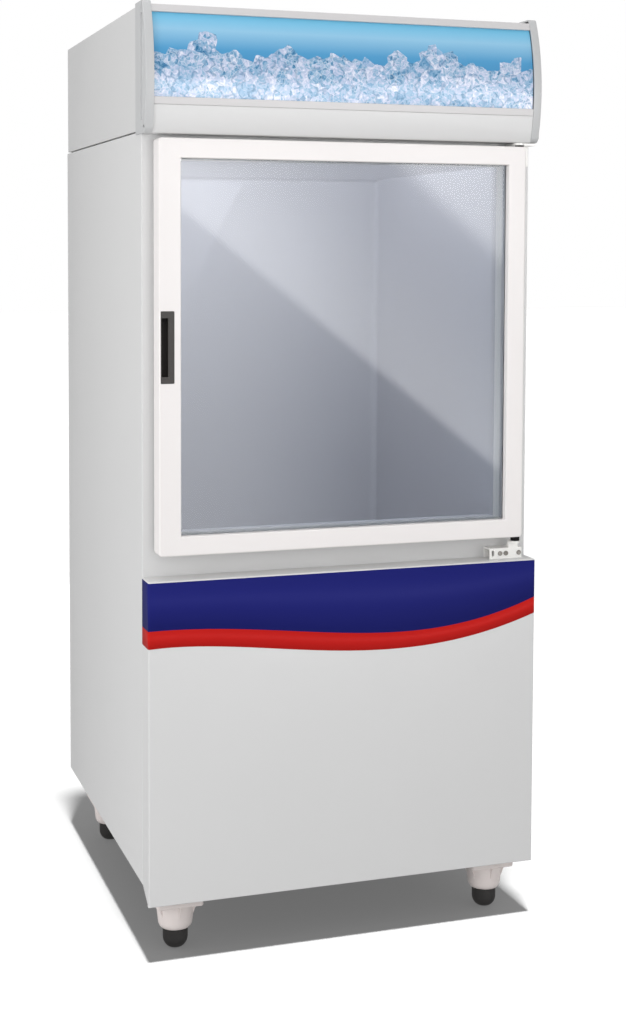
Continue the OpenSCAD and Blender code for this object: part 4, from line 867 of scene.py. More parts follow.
    def finished(self, name: str, finish: Coating, smooth: float) -> Object:
        """Ends the form and puts it in the scene, in metres.

        Args:
            name: Name of the piece.
            finish: Its finish.
            smooth: Largest angle between faces that shade as one, in degrees.

        Returns:
            The object.
        """
        bmesh.ops.scale(self.bm, vec=(MM, MM, MM), verts=self.bm.verts)
        mesh = bpy.data.meshes.new(name)
        self.bm.to_mesh(mesh)
        self.bm.free()
        mesh.shade_smooth()
        mesh.set_sharp_from_angle(angle=math.radians(smooth))
        mesh.materials.append(finish.material())
        LOG.info("piece %s: %d faces", name, len(mesh.polygons))
        return put(name, mesh)

    def piece(self, name: str, finish: Coating, body: Body | str, nodes: Sequence[str] = (), *,
              slot: str = "", wall: float = 0.0, inside: Triple | None = None,
              soften: float = 0.0, steps: int = 2) -> None:
        """Makes the form a finished piece of the freezer.

        Args:
            name: Name of the piece.
            finish: Its finish.
            body: The body it rides on.
            nodes: The modelled solids that it stands for.
            slot: The record's material slot; not used.
            wall: Thickness given to an open sheet, towards its inner side.
            inside: A point on the sheet's inner side, which settles where its faces look.
            soften: Width of the rounding of all sharp edges.
            steps: Facets in that rounding.
        """
        bmesh.ops.remove_doubles(self.bm, verts=self.bm.verts, dist=PIECE_WELD)
        self.align()
        if inside is not None:
            middle = Vector(inside)
            facing = sum((f.calc_center_median() - middle).dot(f.normal) * f.calc_area()
                         for f in self.bm.faces)
            if facing < 0:
                self.flip()
        obj = self.finished(name, finish, PIECE_SMOOTH)
        if wall:
            add_wall(obj, wall)
        if soften:
            add_softening(obj, soften, steps)
        elif not wall:
            even = obj.modifiers.new("even shading", "WEIGHTED_NORMAL")
            even.keep_sharp = True
        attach(obj, str(body.value if isinstance(body, Body) else body))
        if nodes:
            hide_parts(*nodes)


# ---------------------------------------------------------------- cabinet

@dataclass
class Cabinet:
    """The foamed box: skins, the frame round the door opening and the well."""

    half_w: float = 375.0
    front_y: float = -337.0
    back_y: float = 382.8
    low_z: float = 130.0
    top_z: float = 1479.0
    sheet: float = 1.0
    fold_r: float = 2.2
    return_w: float = 16.0
    frame_inset: float = 0.6
    opening_x: float = 321.5
    opening_z: Pair = (761.5, 1434.5)
    machine_x: float = 343.0
    machine_z: float = 521.0
    well_x: float = 320.0
    well_y: Pair = (-282.0, 327.8)
    well_z: Pair = (600.0, 1433.0)
    sill_z: float = 763.0
    liner_t: float = 1.5
    liner_r: float = 16.0
    liner_floor_r: float = 12.0

    def build(self) -> None:
        """Makes every piece of the box."""
        self.side_panels()
        self.front_frame()
        self.well()

    def side_panels(self) -> None:
        """Skins with folded returns at the front and the back."""
        x, front, back = self.half_w, self.front_y + self.sheet, self.back_y - self.sheet
        edge = x - self.return_w
        form = Form()
        path = form.chain([(edge, front, self.low_z), (x, front, self.low_z),
                           (x, back, self.low_z), (edge, back, self.low_z)])
        form.sweep(path, (0, 0, self.top_z - self.low_z))
        form.round(form.folds(form.bm.edges), self.fold_r, 4)
        left = form.mirrored()
        for side, made in (("right", form), ("left", left)):
            made.piece(f"side_skin_{side}", Paint.SHEET, Body.CABINET, (f"side_panel_{side}",),
                       slot="painted_sheet", wall=self.sheet, inside=(0, 0, 800), soften=0.25)

    def front_frame(self) -> None:
        """Sheet round the door opening, with legs behind the apron."""
        form = Form()
        x, y = self.half_w - self.frame_inset, self.front_y
        form.panel((-x, self.low_z), (x, self.top_z), y)
        low, high = self.opening_z
        form.punch((-self.opening_x, low), (self.opening_x, high))
        form.window((-self.machine_x, self.machine_z), (self.machine_x, self.machine_z + 1))
        form.drop(form.faces(lambda c: abs(c.x) < self.machine_x and c.z < self.machine_z))
        form.push(form.bm.faces, (0, self.sheet, 0))
        form.piece("front_sheet", Paint.SHEET, Body.CABINET, ("front_frame",),
                   slot="painted_sheet", soften=0.5)

    def well(self) -> None:
        """Tank with round corners and a throat to the door; its faces look inwards."""
        form = Form()
        x, (front, back), (low, high) = self.well_x, self.well_y, self.well_z
        form.block((-x, front, low), (x, back, high))
        form.round(form.edges(lambda p: p.y > back - NEAR and abs(p.x) > x - NEAR),
                   self.liner_r, 8)
        form.round(form.edges(lambda p: p.z < low + NEAR), self.liner_floor_r, 4)
        ceiling = form.edges(lambda p: p.z > high - NEAR)
        form.round([e for e in ceiling if min(v.co.y for v in e.verts) > front + 1],
                   self.liner_floor_r, 4)
        form.cut((0, 0, self.sill_z), (0, 0, 1))
        mouth = form.faces(lambda c: c.y < front + NEAR and c.z > self.sill_z)
        form.drop(form.push(mouth, (0, self.front_y - front, 0)))
        form.flip()
        obj = form.finished("well_liner", Paint.LINER, WELL_SMOOTH)
        add_wall(obj, self.liner_t, even=False)
        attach(obj, "cabinet")
        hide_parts("liner")


# ---------------------------------------------------------------- apron and its films

@dataclass
class Wave:
    """A smooth line across the apron, as share of its width and drop below the ledge."""

    points: tuple[Pair, ...]
    width: float = 750.0
    ledge_z: float = 690.0
    halvings: int = 30

    def height(self, x: float) -> float:
        """Height of the line.

        Args:
            x: Place across the apron.

        Returns:
            The line's height above the floor.
        """
        share = min(1.0, max(0.0, x / self.width + 0.5))
        low, high = 0.0, 1.0
        for _ in range(self.halvings):
            middle = (low + high) / 2
            if self.blend(0, middle) < share:
                low = middle
            else:
                high = middle
        return self.ledge_z + self.blend(1, low)

    def blend(self, axis: int, t: float) -> float:
        """One coordinate of the cubic curve at t."""
        a, b, c, d = (p[axis] for p in self.points)
        s = 1 - t
        return s * s * s * a + 3 * s * s * t * b + 3 * s * t * t * c + t * t * t * d


@dataclass
class Apron:
    """Folded cover under the door, with a blue film and a red one."""

    half_w: float = 375.0
    front_y: float = -384.6
    back_y: float = -337.0
    low_z: float = 105.0
    side_z: float = 130.0
    ledge_z: float = 690.0
    sheet: float = 1.0
    fold_r: float = 3.0
    fold_steps: int = 5
    slope_start: float = 4.0
    lip: float = 14.0
    film: float = 0.4
    film_cuts: int = 71
    upper: Wave = field(default_factory=lambda: Wave(
        ((0, -88), (0.363, -81), (0.648, -176), (1, -72))))
    lower: Wave = field(default_factory=lambda: Wave(
        ((0, -120), (0.281, -106), (0.604, -210), (1, -103))))

    def build(self) -> None:
        """Makes the apron and its films."""
        self.cover()
        top = self.ledge_z - self.fold_r + self.film
        self.band("film_blue", Paint.BLUE_FILM, "band_blue", lambda x: top, self.upper.height,
                  "blue_film")
        self.band("film_red", Paint.RED_FILM, "band_red", self.upper.height, self.lower.height,
                  "red_film")

    def cover(self) -> None:
        """The folded sheet, open at the back and below."""
        form = Form()
        x, y, back = self.half_w, self.front_y, self.back_y
        form.block((-x, y, self.low_z), (x, back, self.ledge_z))
        form.drop(form.faces(lambda c: c.y > back - NEAR or c.z < self.low_z + NEAR))
        start, rise = y + self.slope_start, self.side_z - self.low_z
        form.cut((0, start, self.low_z), (0, rise, start - back), clear=True)
        front = form.edges(lambda p: p.z < self.low_z + NEAR and p.y < y + NEAR)
        form.sweep(front, (0, self.lip, 0))
        ledge_ends = form.edges(lambda p: p.z > self.ledge_z - NEAR and abs(p.x) > x - NEAR)
        folds = form.folds([*form.edges(lambda p: p.y < y + NEAR), *ledge_ends])
        form.round(folds, self.fold_r, self.fold_steps)
        form.piece("apron_cover", Paint.SHEET, Body.CABINET, ("apron",), slot="painted_sheet",
                   wall=self.sheet, inside=(0, back, 400), soften=0.25)

    def band(self, name: str, finish: Finish, node: str, top: Line, foot: Line,
             slot: str) -> None:
        """A film between two lines, carried round onto both side flanges.

        Args:
            name: Name of the piece.
            finish: Its finish.
            node: The modelled film that it stands for.
            top: Height of its upper line at a place across the apron.
            foot: Height of its lower line there.
            slot: The record's material slot.
        """
        form = Form()
        x, y, back = self.half_w + self.film, self.front_y - self.film, self.back_y
        path = form.chain([(-x, back, 0), (-x, y, 0), (x, y, 0), (x, back, 0)])
        height = 10.0
        form.sweep(path, (0, 0, height))
        form.round(form.folds(form.bm.edges), self.fold_r + self.film, self.fold_steps)
        runs = [e for e in form.bm.edges if abs(e.verts[0].co.x - e.verts[1].co.x) > x]
        bmesh.ops.subdivide_edges(form.bm, edges=runs, cuts=self.film_cuts, use_grid_fill=True)
        for vert in form.bm.verts:
            line = top if vert.co.z > height / 2 else foot
            vert.co.z = line(vert.co.x)
        form.piece(name, finish, Body.CABINET, (node,), slot=slot, wall=self.film - 0.05,
                   inside=(0, back, 600))


# ---------------------------------------------------------------- header

@dataclass
class Header:
    """Light box over the door: end caps, curved print, strips, valance and housing."""

    low_z: float = 1475.0
    high_z: float = 1706.0
    body_z: float = 1479.0
    arc_y: float = -45.0
    arc_z: float = 1571.0
    arc_r: float = 340.0
    cap_x: Pair = (362.5, 377.5)
    cap_back: float = -301.0
    cap_fillet: float = 14.0
    cap_crown_r: float = 4.0
    cap_rim: float = 3.0
    cap_wall: float = 3.0
    cap_hollow: float = 8.0
    recess_inset: float = 11.0
    recess_z: Pair = (1499.0, 1684.0)
    recess_y: float = -344.0
    recess_d: float = 4.0
    recess_r: float = 1.6
    valance_z: float = 1524.4
    valance_inset: float = 2.0
    valance_back: float = -338.0
    print_inset: float = 4.8
    print_z: Pair = (1526.5, 1697.0)
    strip_inset: float = 1.0
    strip_h: float = 13.0
    strip_z: Pair = (1524.5, 1699.0)
    ledge_start: float = 4.0
    ledge_d: float = 16.0
    ledge_t: float = 1.2
    half_w: float = 375.0
    housing_back: float = 374.8
    housing_z: Pair = (1482.0, 1702.0)
    housing_r: float = 2.5
    sheet: float = 1.0
    joggle: float = 12.0
    lip_start: float = 20.0
    lip_t: float = 2.0

    def build(self) -> None:
        """Makes every piece of the header."""
        self.caps()
        self.print_panel()
        self.strips()
        self.valance()
        self.housing()

    def at(self, inset: float, z: float) -> float:
        """Y of the curve, drawn in by inset, at a height."""
        return self.arc_y - math.sqrt((self.arc_r - inset) ** 2 - (z - self.arc_z) ** 2)

    def degrees(self, inset: float, low: float, high: float) -> float:
        """Angle that the curve turns through between two heights."""
        radius = self.arc_r - inset
        start, end = (math.asin((z - self.arc_z) / radius) for z in (low, high))
        return math.degrees(start - end)

    def curved_sheet(self, inset: float, low: float, high: float, x: float,
                     steps: int) -> Form:
        """A sheet that follows the curve from side to side.

        Args:
            inset: How far behind the foremost curve it lies.
            low: Its lower edge.
            high: Its upper edge.
            x: Half its width.
            steps: Facets round the curve.

        Returns:
            The open sheet.
        """
        form = Form()
        y = self.at(inset, low)
        edges = form.chain([(-x, y, low), (x, y, low)])
        form.spin([*form.bm.verts, *edges], (0, self.arc_y, self.arc_z), (1, 0, 0),
                  self.degrees(inset, low, high), steps)
        return form

    def cap_blank(self) -> Form:
        """The right cap's outline, thick and with its outer rim rounded."""
        form = Form()
        inner, outer = self.cap_x
        start = form.bm.verts.new((outer, self.at(0, self.low_z), self.low_z))
        form.spin([start], (0, self.arc_y, self.arc_z), (1, 0, 0),
                  self.degrees(0, self.low_z, self.high_z), 26)
        curve = list(form.bm.verts)
        back = [form.bm.verts.new((outer, self.cap_back, z)) for z in (self.high_z, self.low_z)]
        form.bm.faces.new([*curve, *back])
        corner = min(curve, key=lambda v: v.co.z)
        crown = max(curve, key=lambda v: v.co.z)
        form.round_corners([corner], self.cap_fillet, 6)
        form.round_corners([crown], self.cap_crown_r, 3)
        form.push(form.bm.faces, (inner - outer, 0, 0))
        face = form.faces(lambda c: c.x > outer - NEAR)
        form.round([e for f in face for e in f.edges], self.cap_rim, 4)
        return form

    def caps(self) -> None:
        """Moulded end caps with a rounded rim and a long thumb recess."""
        inner, outer = self.cap_x
        low, high = self.recess_z

        def outside(c: Vector) -> bool:
            """Whether a point lies on the cap's outer face."""
            return c.x > outer - NEAR

        def front(c: Vector) -> bool:
            """Whether it also lies before the recess's rear edge."""
            return outside(c) and c.y < self.recess_y

        form = self.cap_blank()
        form.inset(form.faces(outside), self.recess_inset - self.cap_rim)
        form.cut((0, self.recess_y, 0), (0, 1, 0), [form.largest(outside)])
        for z in self.recess_z:
            form.cut((0, 0, z), (0, 0, 1), [form.largest(front)])
        middle = form.largest(lambda c: front(c) and low < c.z < high)
        floor = form.push([middle], (-self.recess_d, 0, 0))
        form.round([e for f in floor for e in f.edges], self.recess_r, 3)
        hollow = form.largest(lambda c: c.x < inner + NEAR)
        form.inset([hollow], self.cap_wall)
        form.push([hollow], (self.cap_hollow, 0, 0))
        twin = form.mirrored()
        for side, made in (("right", form), ("left", twin)):
            made.piece(f"end_cap_{side}", Paint.CAP, Body.CABINET, (f"header_cap_{side}",),
                       slot="grey_white_plastic", soften=0.4)

    def print_panel(self) -> None:
        """Curved translucent panel with the ice print."""
        form = self.curved_sheet(self.print_inset, *self.print_z, self.cap_x[0] - 0.5, 30)
        form.piece("ice_print_panel", Paint.ICE, Body.CABINET, ("header_graphic",),
                   slot="graphic_film", wall=3.0, inside=(0, 0, self.arc_z), soften=0.2)

    def strips(self) -> None:
        """Extruded strips that hold the panel's two edges, and the upper one's ledge."""
        form = Form()
        low, high = self.strip_z
        x = self.cap_x[0]
        for z0, z1 in ((low, low + self.strip_h), (high - self.strip_h, high)):
            form.join(self.curved_sheet(self.strip_inset, z0, z1, x, 4))
        form.piece("panel_strips", Paint.STRIP, Body.CABINET, ("graphic_strips",),
                   slot="white_plastic", wall=3.5, inside=(0, 0, self.arc_z), soften=0.8,
                   steps=3)
        ledge = Form()
        y = self.at(self.strip_inset, high) + self.ledge_start
        ledge.block((-x, y, high - self.ledge_t), (x, y + self.ledge_d, high))
        ledge.piece("strip_ledge", Paint.STRIP, Body.CABINET, (), slot="white_plastic",
                    soften=0.3)

    def valance(self) -> None:
        """Plain folded sheet under the print, turned back along its lower edge."""
        form = self.curved_sheet(self.valance_inset, self.low_z, self.valance_z,
                                 self.cap_x[0], 12)
        y = self.at(self.valance_inset, self.low_z)
        form.sweep(form.edges(lambda p: p.z < self.low_z + NEAR),
                   (0, self.valance_back - y, 0))
        foot = form.edges(lambda p: p.z < self.low_z + NEAR and p.y < y + NEAR)
        form.round(form.folds(foot), 2.0, 4)
        form.piece("valance_sheet", Paint.VALANCE, Body.CABINET, ("header_valance",),
                   slot="painted_sheet", wall=1.2, inside=(0, -300, self.arc_z), soften=0.2)

    def housing(self) -> None:
        """Folded box behind the print, on a joggled floor that leaves a shadow seam."""
        form = Form()
        x, back, (low, high) = self.half_w, self.housing_back, self.housing_z
        front, t = self.cap_back, self.sheet
        form.block((-x, front, low), (x, back, high))
        form.drop(form.faces(lambda c: c.y < front + NEAR or c.z < low + NEAR))
        form.round(form.folds(form.bm.edges), self.housing_r, 4)
        form.piece("light_box_skin", Paint.SHEET, Body.CABINET, ("header_housing",),
                   slot="painted_sheet", wall=t, inside=(0, 0, 1500), soften=0.25)
        floor = Form()
        foot = self.body_z
        in_x, in_y, out_x, out_y = x - self.joggle, back - self.joggle, x - t, back - t
        lip_x, lip_z = self.cap_x[0], self.strip_z[1]
        lip_y = self.at(self.strip_inset, lip_z) + self.lip_start
        for corner, opposite in (
            ((-in_x, front, foot), (in_x, in_y, foot + t)),
            ((-in_x, front, foot), (t - in_x, in_y, low + t)),
            ((in_x - t, front, foot), (in_x, in_y, low + t)),
            ((-out_x, front, low), (t - in_x, out_y, low + t)),
            ((in_x - t, front, low), (out_x, out_y, low + t)),
            ((-out_x, in_y - t, low), (out_x, out_y, low + t)),
            ((-in_x, in_y - t, foot), (in_x, in_y, low + t)),
            ((-lip_x, lip_y, high - t), (lip_x, front, high)),
            ((-lip_x, lip_y, lip_z), (lip_x, lip_y + self.lip_t, high - t / 2)),
        ):
            floor.block(corner, opposite)
        floor.piece("light_box_floor", Paint.SHEET, Body.CABINET, (), slot="painted_sheet",
                    soften=0.2)


# ---------------------------------------------------------------- door

@dataclass
class Door:
    """Framed double-glazed door with a flush handle."""

    x: Pair = (-355.0, 347.0)
    z: Pair = (733.0, 1467.0)
    front_y: float = -385.0
    depth: float = 40.0
    handle_bar: float = 40.0
    bar: float = 35.0
    lip: float = 13.0
    rebate: float = 14.0
    bite: float = 12.0
    corner_r: float = 6.0
    outer_r: float = 2.8
    inner_r: float = 2.2
    pane: float = 4.0
    gap: float = 12.0
    spacer_out: float = 10.0
    spacer_w: float = 11.0
    gasket_inset: float = 9.0
    gasket_w: float = 12.0
    gasket_y: float = -337.3
    gasket_waist: float = 0.4
    plate_x: Pair = (-352.0, -327.5)
    plate_z: Pair = (1038.5, 1165.5)
    plate_d: float = 1.9
    plate_r: float = 2.0
    seat_gap: float = 0.15
    seat_d: float = 2.1
    pocket_d: float = 24.0
    pocket_end: float = 4.0
    mouth_x: Pair = (-350.8, -338.6)
    mouth_z: Pair = (1050.5, 1153.5)
    throat: float = 6.0
    recess: float = 23.0
    hook: float = 5.2
    cup_x: float = -331.0

    def build(self) -> None:
        """Makes every piece of the door."""
        self.frame_bars()
        self.panes()
        self.gasket()
        self.handle()

    @property
    def light(self) -> tuple[Pair, Pair]:
        """Lowest and highest corner of the visible glass in X and Z."""
        return ((self.x[0] + self.handle_bar, self.z[0] + self.bar),
                (self.x[1] - self.bar, self.z[1] - self.bar))

    def ring(self) -> Form:
        """The whole frame before it is cut into bars."""
        form = Form()
        (x0, x1), (z0, z1), y, r = self.x, self.z, self.front_y, self.rebate
        low, high = self.light
        form.panel((x0, z0), (x1, z1), y)
        form.punch(low, high)
        form.push(form.bm.faces, (0, self.lip, 0))
        (a, c), (b, d) = (low[0] - r, low[1] - r), (high[0] + r, high[1] + r)
        form.window((a, c), (b, d))
        form.align()
        form.push(form.faces(lambda p: p.y > y + self.lip - NEAR
                             and not (a < p.x < b and c < p.z < d)),
                  (0, self.depth - self.lip, 0))
        form.align()
        return form

    def round_ring(self, form: Form) -> None:
        """Rounds the frame's outer corners and the rims of its front."""
        (x0, x1), (z0, z1), y = self.x, self.z, self.front_y
        low, high = self.light

        def corner(p: Vector) -> bool:
            """Whether a point lies on an outer corner."""
            return (p.x < x0 + NEAR or p.x > x1 - NEAR) and (p.z < z0 + NEAR or p.z > z1 - NEAR)

        def at_glass(p: Vector) -> bool:
            """Whether a point lies at the visible glass."""
            return low[0] - 1 < p.x < high[0] + 1 and low[1] - 1 < p.z < high[1] + 1

        def rim(inner: bool) -> list[BMEdge]:
            """Edges of the front's rim, at the glass or outside."""
            return [e for e in form.edges(lambda p: p.y < y + NEAR)
                    if any(abs(f.normal.y) < 0.5 for f in e.link_faces)
                    and all(at_glass(v.co) for v in e.verts) == inner]

        form.round(form.edges(corner), self.corner_r, 5)
        form.round(rim(False), self.outer_r, 4)
        form.round(rim(True), self.inner_r, 4)

    def frame_bars(self) -> None:
        """Four mitred bars; the two rails are one piece."""
        ring = self.ring()
        self.round_ring(ring)
        (x0, x1), (z0, z1) = self.x, self.z
        w, h = self.handle_bar, self.bar
        mitres = {
            "bl": ((x0, 0, z0), (h, 0, -w)), "tl": ((x0, 0, z1), (h, 0, w)),
            "br": ((x1, 0, z0), (-1, 0, -1)), "tr": ((x1, 0, z1), (-1, 0, 1)),
        }

        def bar(corners: tuple[str, str], side: int) -> Form:
            """Part of the ring on one side of two mitres."""
            form = ring.copy()
            for corner in corners:
                point, normal = mitres[corner]
                form.cut(point, tuple(side * n for n in normal), clear=True)
                form.cap_holes()
            return form

        handle_stile = bar(("bl", "tl"), 1)
        self.pocket(handle_stile)
        hinge_stile = bar(("br", "tr"), 1)
        rails = bar(("bl", "br"), -1)
        rails.join(bar(("tl", "tr"), -1))
        for name, form, node in (
            ("frame_stile_handle", handle_stile, "door_stile_handle"),
            ("frame_stile_hinge", hinge_stile, "door_stile_hinge"),
            ("frame_rails", rails, "door_rails"),
        ):
            form.piece(name, Paint.DOOR_WHITE, Body.DOOR, (node,), slot="door_frame_white")
        ring.bm.free()

    def pocket(self, form: Form) -> None:
        """Seat of the handle's plate and cup in the stile."""
        (x0, x1), (z0, z1), y, gap = self.plate_x, self.plate_z, self.front_y, self.seat_gap
        low, high = z0 + self.pocket_end, z1 - self.pocket_end

        def on_seat(c: Vector) -> bool:
            """Whether a point lies on the plate's seat."""
            return abs(c.y - y - self.seat_d) < NEAR and x0 - 1 < c.x < x1 + 1

        form.window((x0 - gap, z0 - gap), (x1 + gap, z1 + gap))
        plate = form.faces(lambda c: c.y < y + NEAR and x0 < c.x < x1 and z0 < c.z < z1)
        seat = form.push(plate, (0, self.seat_d, 0))
        form.cut((self.cup_x, 0, 0), (1, 0, 0), seat)
        for z in (low, high):
            form.cut((0, 0, z), (0, 0, 1), form.faces(on_seat))
        form.push(form.faces(lambda c: on_seat(c) and c.x < self.cup_x and low < c.z < high),
                  (0, self.pocket_d, 0))

    def panes(self) -> None:
        """Two panes and the spacer between them."""
        (x0, z0), (x1, z1) = self.light
        b, o = self.bite, self.spacer_out
        y = self.front_y + self.lip
        for name, at in (("outer", y), ("inner", y + self.pane + self.gap)):
            form = Form()
            form.block((x0 - b, at, z0 - b), (x1 + b, at + self.pane, z1 + b))
            form.piece(f"pane_{name}", Paint.GLASS, Body.DOOR, (f"door_glass_{name}",),
                       slot="door_glass")
        spacer = self.flat_ring((x0 - o, z0 - o), (x1 + o, z1 + o), self.spacer_w,
                                y + self.pane)
        spacer.push(spacer.bm.faces, (0, self.gap, 0))
        spacer.piece("pane_spacer", Paint.ALUMINIUM, Body.DOOR, ("glass_spacer",),
                     slot="bare_aluminium", soften=0.5)

    @staticmethod
    def flat_ring(low: Pair, high: Pair, width: float, y: float) -> Form:
        """Flat rectangular ring.

        Args:
            low: Its lowest outer corner in X and Z.
            high: Its highest outer corner.
            width: Width of its four sides.
            y: Where it stands.

        Returns:
            The ring, one sheet thick.
        """
        form = Form()
        form.panel(low, high, y)
        form.punch((low[0] + width, low[1] + width), (high[0] - width, high[1] - width))
        return form

    def gasket(self) -> None:
        """Magnetic gasket: a soft ring with a fold all round."""
        (x0, x1), (z0, z1) = self.x, self.z
        i, y = self.gasket_inset, self.front_y + self.depth
        form = self.flat_ring((x0 + i, z0 + i), (x1 - i, z1 - i), self.gasket_w, y)
        depth = self.gasket_y - y
        waist = form.push(form.bm.faces, (0, depth * self.gasket_waist, 0))
        form.push(waist, (0, depth * (1 - self.gasket_waist), 0))
        form.piece("seal_ring", Paint.GASKET, Body.DOOR, ("door_gasket",), slot="grey_gasket",
                   soften=1.6, steps=3)

    def handle(self) -> None:
        """Flush handle: a plate with a finger recess that hooks behind it."""
        form = Form()
        (x0, x1), (z0, z1), y = self.plate_x, self.plate_z, self.front_y
        form.panel((x0, z0), (x1, z1), y)
        form.round_corners(form.bm.verts, self.plate_r, 4)
        form.sweep(form.bm.edges, (0, self.plate_d, 0))
        (a, b), (c, d) = self.mouth_x, self.mouth_z
        form.window((a, c), (b, d), lambda p: p.y < y + NEAR)
        mouth = form.faces(lambda p: p.y < y + NEAR and a < p.x < b and c < p.z < d)
        throat = form.push(mouth, (0, self.throat, 0))
        form.push(throat, (0, self.recess - self.throat, 0))
        side = form.faces(lambda p: p.x > b - NEAR and c < p.z < d
                          and self.throat + 0.5 < p.y - y < self.recess - 0.5)
        form.push(side, (self.hook, 0, 0))
        form.piece("grip_plate", Paint.HANDLE, Body.DOOR, ("door_handle",), slot="dark_handle",
                   wall=1.0, inside=((x0 + x1) / 2, y + 60, (z0 + z1) / 2), soften=0.35)


# ---------------------------------------------------------------- feet

@dataclass
class Feet:
    """Four tapered sockets with rubber tips."""

    x: float = 309.0
    y: Pair = (-311.0, 272.0)
    flange: float = 43.0
    flange_z: Pair = (85.0, 100.0)
    flange_r: float = 5.0
    gussets: int = 6
    gusset_t: float = 2.4
    cup_gap: float = 0.3
    tip_r: float = 23.0
    tip_h: float = 37.0
    tip_edge: float = 1.2
    sole_r: float = 7.0
    dome_h: float = 20.0
    dome_steps: int = 10
    stem_r: float = 6.0
    stem_top: float = 140.5
    stem_edge: float = 1.0

    def places(self) -> dict[str, Pair]:
        """Middle of each foot by its name."""
        front, rear = self.y
        return {"front_left": (-self.x, front), "front_right": (self.x, front),
                "rear_left": (-self.x, rear), "rear_right": (self.x, rear)}

    def build(self) -> None:
        """Makes the sockets and the tips."""
        sockets = Form()
        for x, y in self.places().values():
            sockets.join(self.socket(), (x, y, 0))
        sockets.piece("foot_cups", Paint.FOOT, Body.CABINET, ("foot_sockets",),
                      slot="grey_plastic", soften=0.5)
        for name, (x, y) in self.places().items():
            tip = Form()
            tip.lathe(self.tip_profile(), (x, y, 0))
            tip.piece(f"rubber_tip_{name}", Paint.RUBBER, f"foot_{name}",
                      (f"level_foot_{name}",), slot="black_rubber")

    def socket(self) -> Form:
        """One socket: flange, cup and gussets."""
        form = Form()
        half, (low, high) = self.flange, self.flange_z
        form.block((-half, -half, low), (half, half, high))
        upright = [e for e in form.bm.edges if abs(e.verts[0].co.z - e.verts[1].co.z) > 5]
        form.round(upright, self.flange_r, 4)
        form.round(form.edges(lambda p: p.z < low + NEAR), 2.0, 3)
        top, foot, z0 = half - 7, half - 13, self.tip_h + self.cup_gap
        bore = self.stem_r + 0.1
        form.lathe([
            (top - 3, low + 2), (top, low + 2), (foot + 1.6, z0 + 12), (foot + 0.9, z0 + 8),
            (foot - 0.8, z0 + 4), (foot - 3.4, z0 + 1.2), (foot - 6.6, z0), (bore, z0),
            (bore, z0 + 3), (foot - 7, z0 + 3), (foot - 3, z0 + 8), (top - 3, low + 2),
        ], (0, 0, 0))
        turn, y = 360 / self.gussets, -self.gusset_t / 2
        for i in range(self.gussets):
            fin = Form()
            fin.face([(half - 9, y, low + 1), (half - 1.5, y, low + 1),
                      (half - 1.5, y, low - 1), (half - 10.5, y, low - 26)])
            fin.push(fin.bm.faces, (0, self.gusset_t, 0))
            spin = Matrix.Rotation(math.radians(turn * (i + 0.5)), 3, "Z")
            bmesh.ops.rotate(fin.bm, cent=(0, 0, 0), matrix=spin, verts=fin.bm.verts)
            form.join(fin)
        return form

    def tip_profile(self) -> list[Pair]:
        """Radius and height of the tip from its sole to the stem's top."""
        r, stem, top = self.tip_r, self.stem_r, self.stem_top
        turns = [math.radians(90 * i / self.dome_steps) for i in range(self.dome_steps + 1)]
        dome = [(self.sole_r + (r - self.sole_r) * math.sin(a),
                 self.dome_h * (1 - math.cos(a))) for a in turns]
        return [(0.0, 0.0), *dome, (r, self.tip_h - self.tip_edge),
                (r - self.tip_edge, self.tip_h), (stem, self.tip_h),
                (stem, top - self.stem_edge), (stem - self.stem_edge, top), (0.0, top)]


# ---------------------------------------------------------------- carried-over solids

@dataclass(frozen=True)
class Carried:
    """A modelled solid that keeps its own mesh and gets a finish."""

    node: str
    finish: Finish
    soften: float = 0.0

    def dress(self) -> None:
        """Gives the node its finish, smooth shading and soft edges."""
        obj = frame["nodes"][self.node]
        obj.data.materials.clear()
        obj.data.materials.append(self.finish.material())
        smooth = obj.modifiers.new("smooth shading", "NODES")
        smooth.node_group = shading_group()
        if self.soften:
            add_softening(obj, self.soften)
        LOG.info("carried %s", self.node)


def shading_group() -> bpy.types.NodeTree:
    """Geometry nodes that weld a solid's loose triangles and shade its flat curves smooth."""
    made = bpy.data.node_groups.get("weld and shade")
    if made:
        return made
    made = bpy.data.node_groups.new("weld and shade", "GeometryNodeTree")
    made.is_modifier = True
    for way in ("INPUT", "OUTPUT"):
        made.interface.new_socket("Geometry", in_out=way, socket_type="NodeSocketGeometry")
    graph = Graph(made)
    start = graph.add("NodeGroupInput").outputs[0]
    weld = graph.add("GeometryNodeMergeByDistance",
                     {"Geometry": start, "Distance": SOLID_WELD}).outputs[0]
    angle = graph.add("GeometryNodeInputMeshEdgeAngle").outputs[0]
    flat = graph.add("FunctionNodeCompare", {0: angle, 1: math.radians(SOLID_SMOOTH)},
                     data_type="FLOAT", operation="LESS_THAN").outputs[0]
    normals = graph.add("GeometryNodeSetMeshNormal", {
        "Mesh": weld, "Remove Custom": True, "Edge Sharpness": flat, "Face Sharpness": False})
    graph.add("NodeGroupOutput", {0: normals.outputs[0]})
    return made


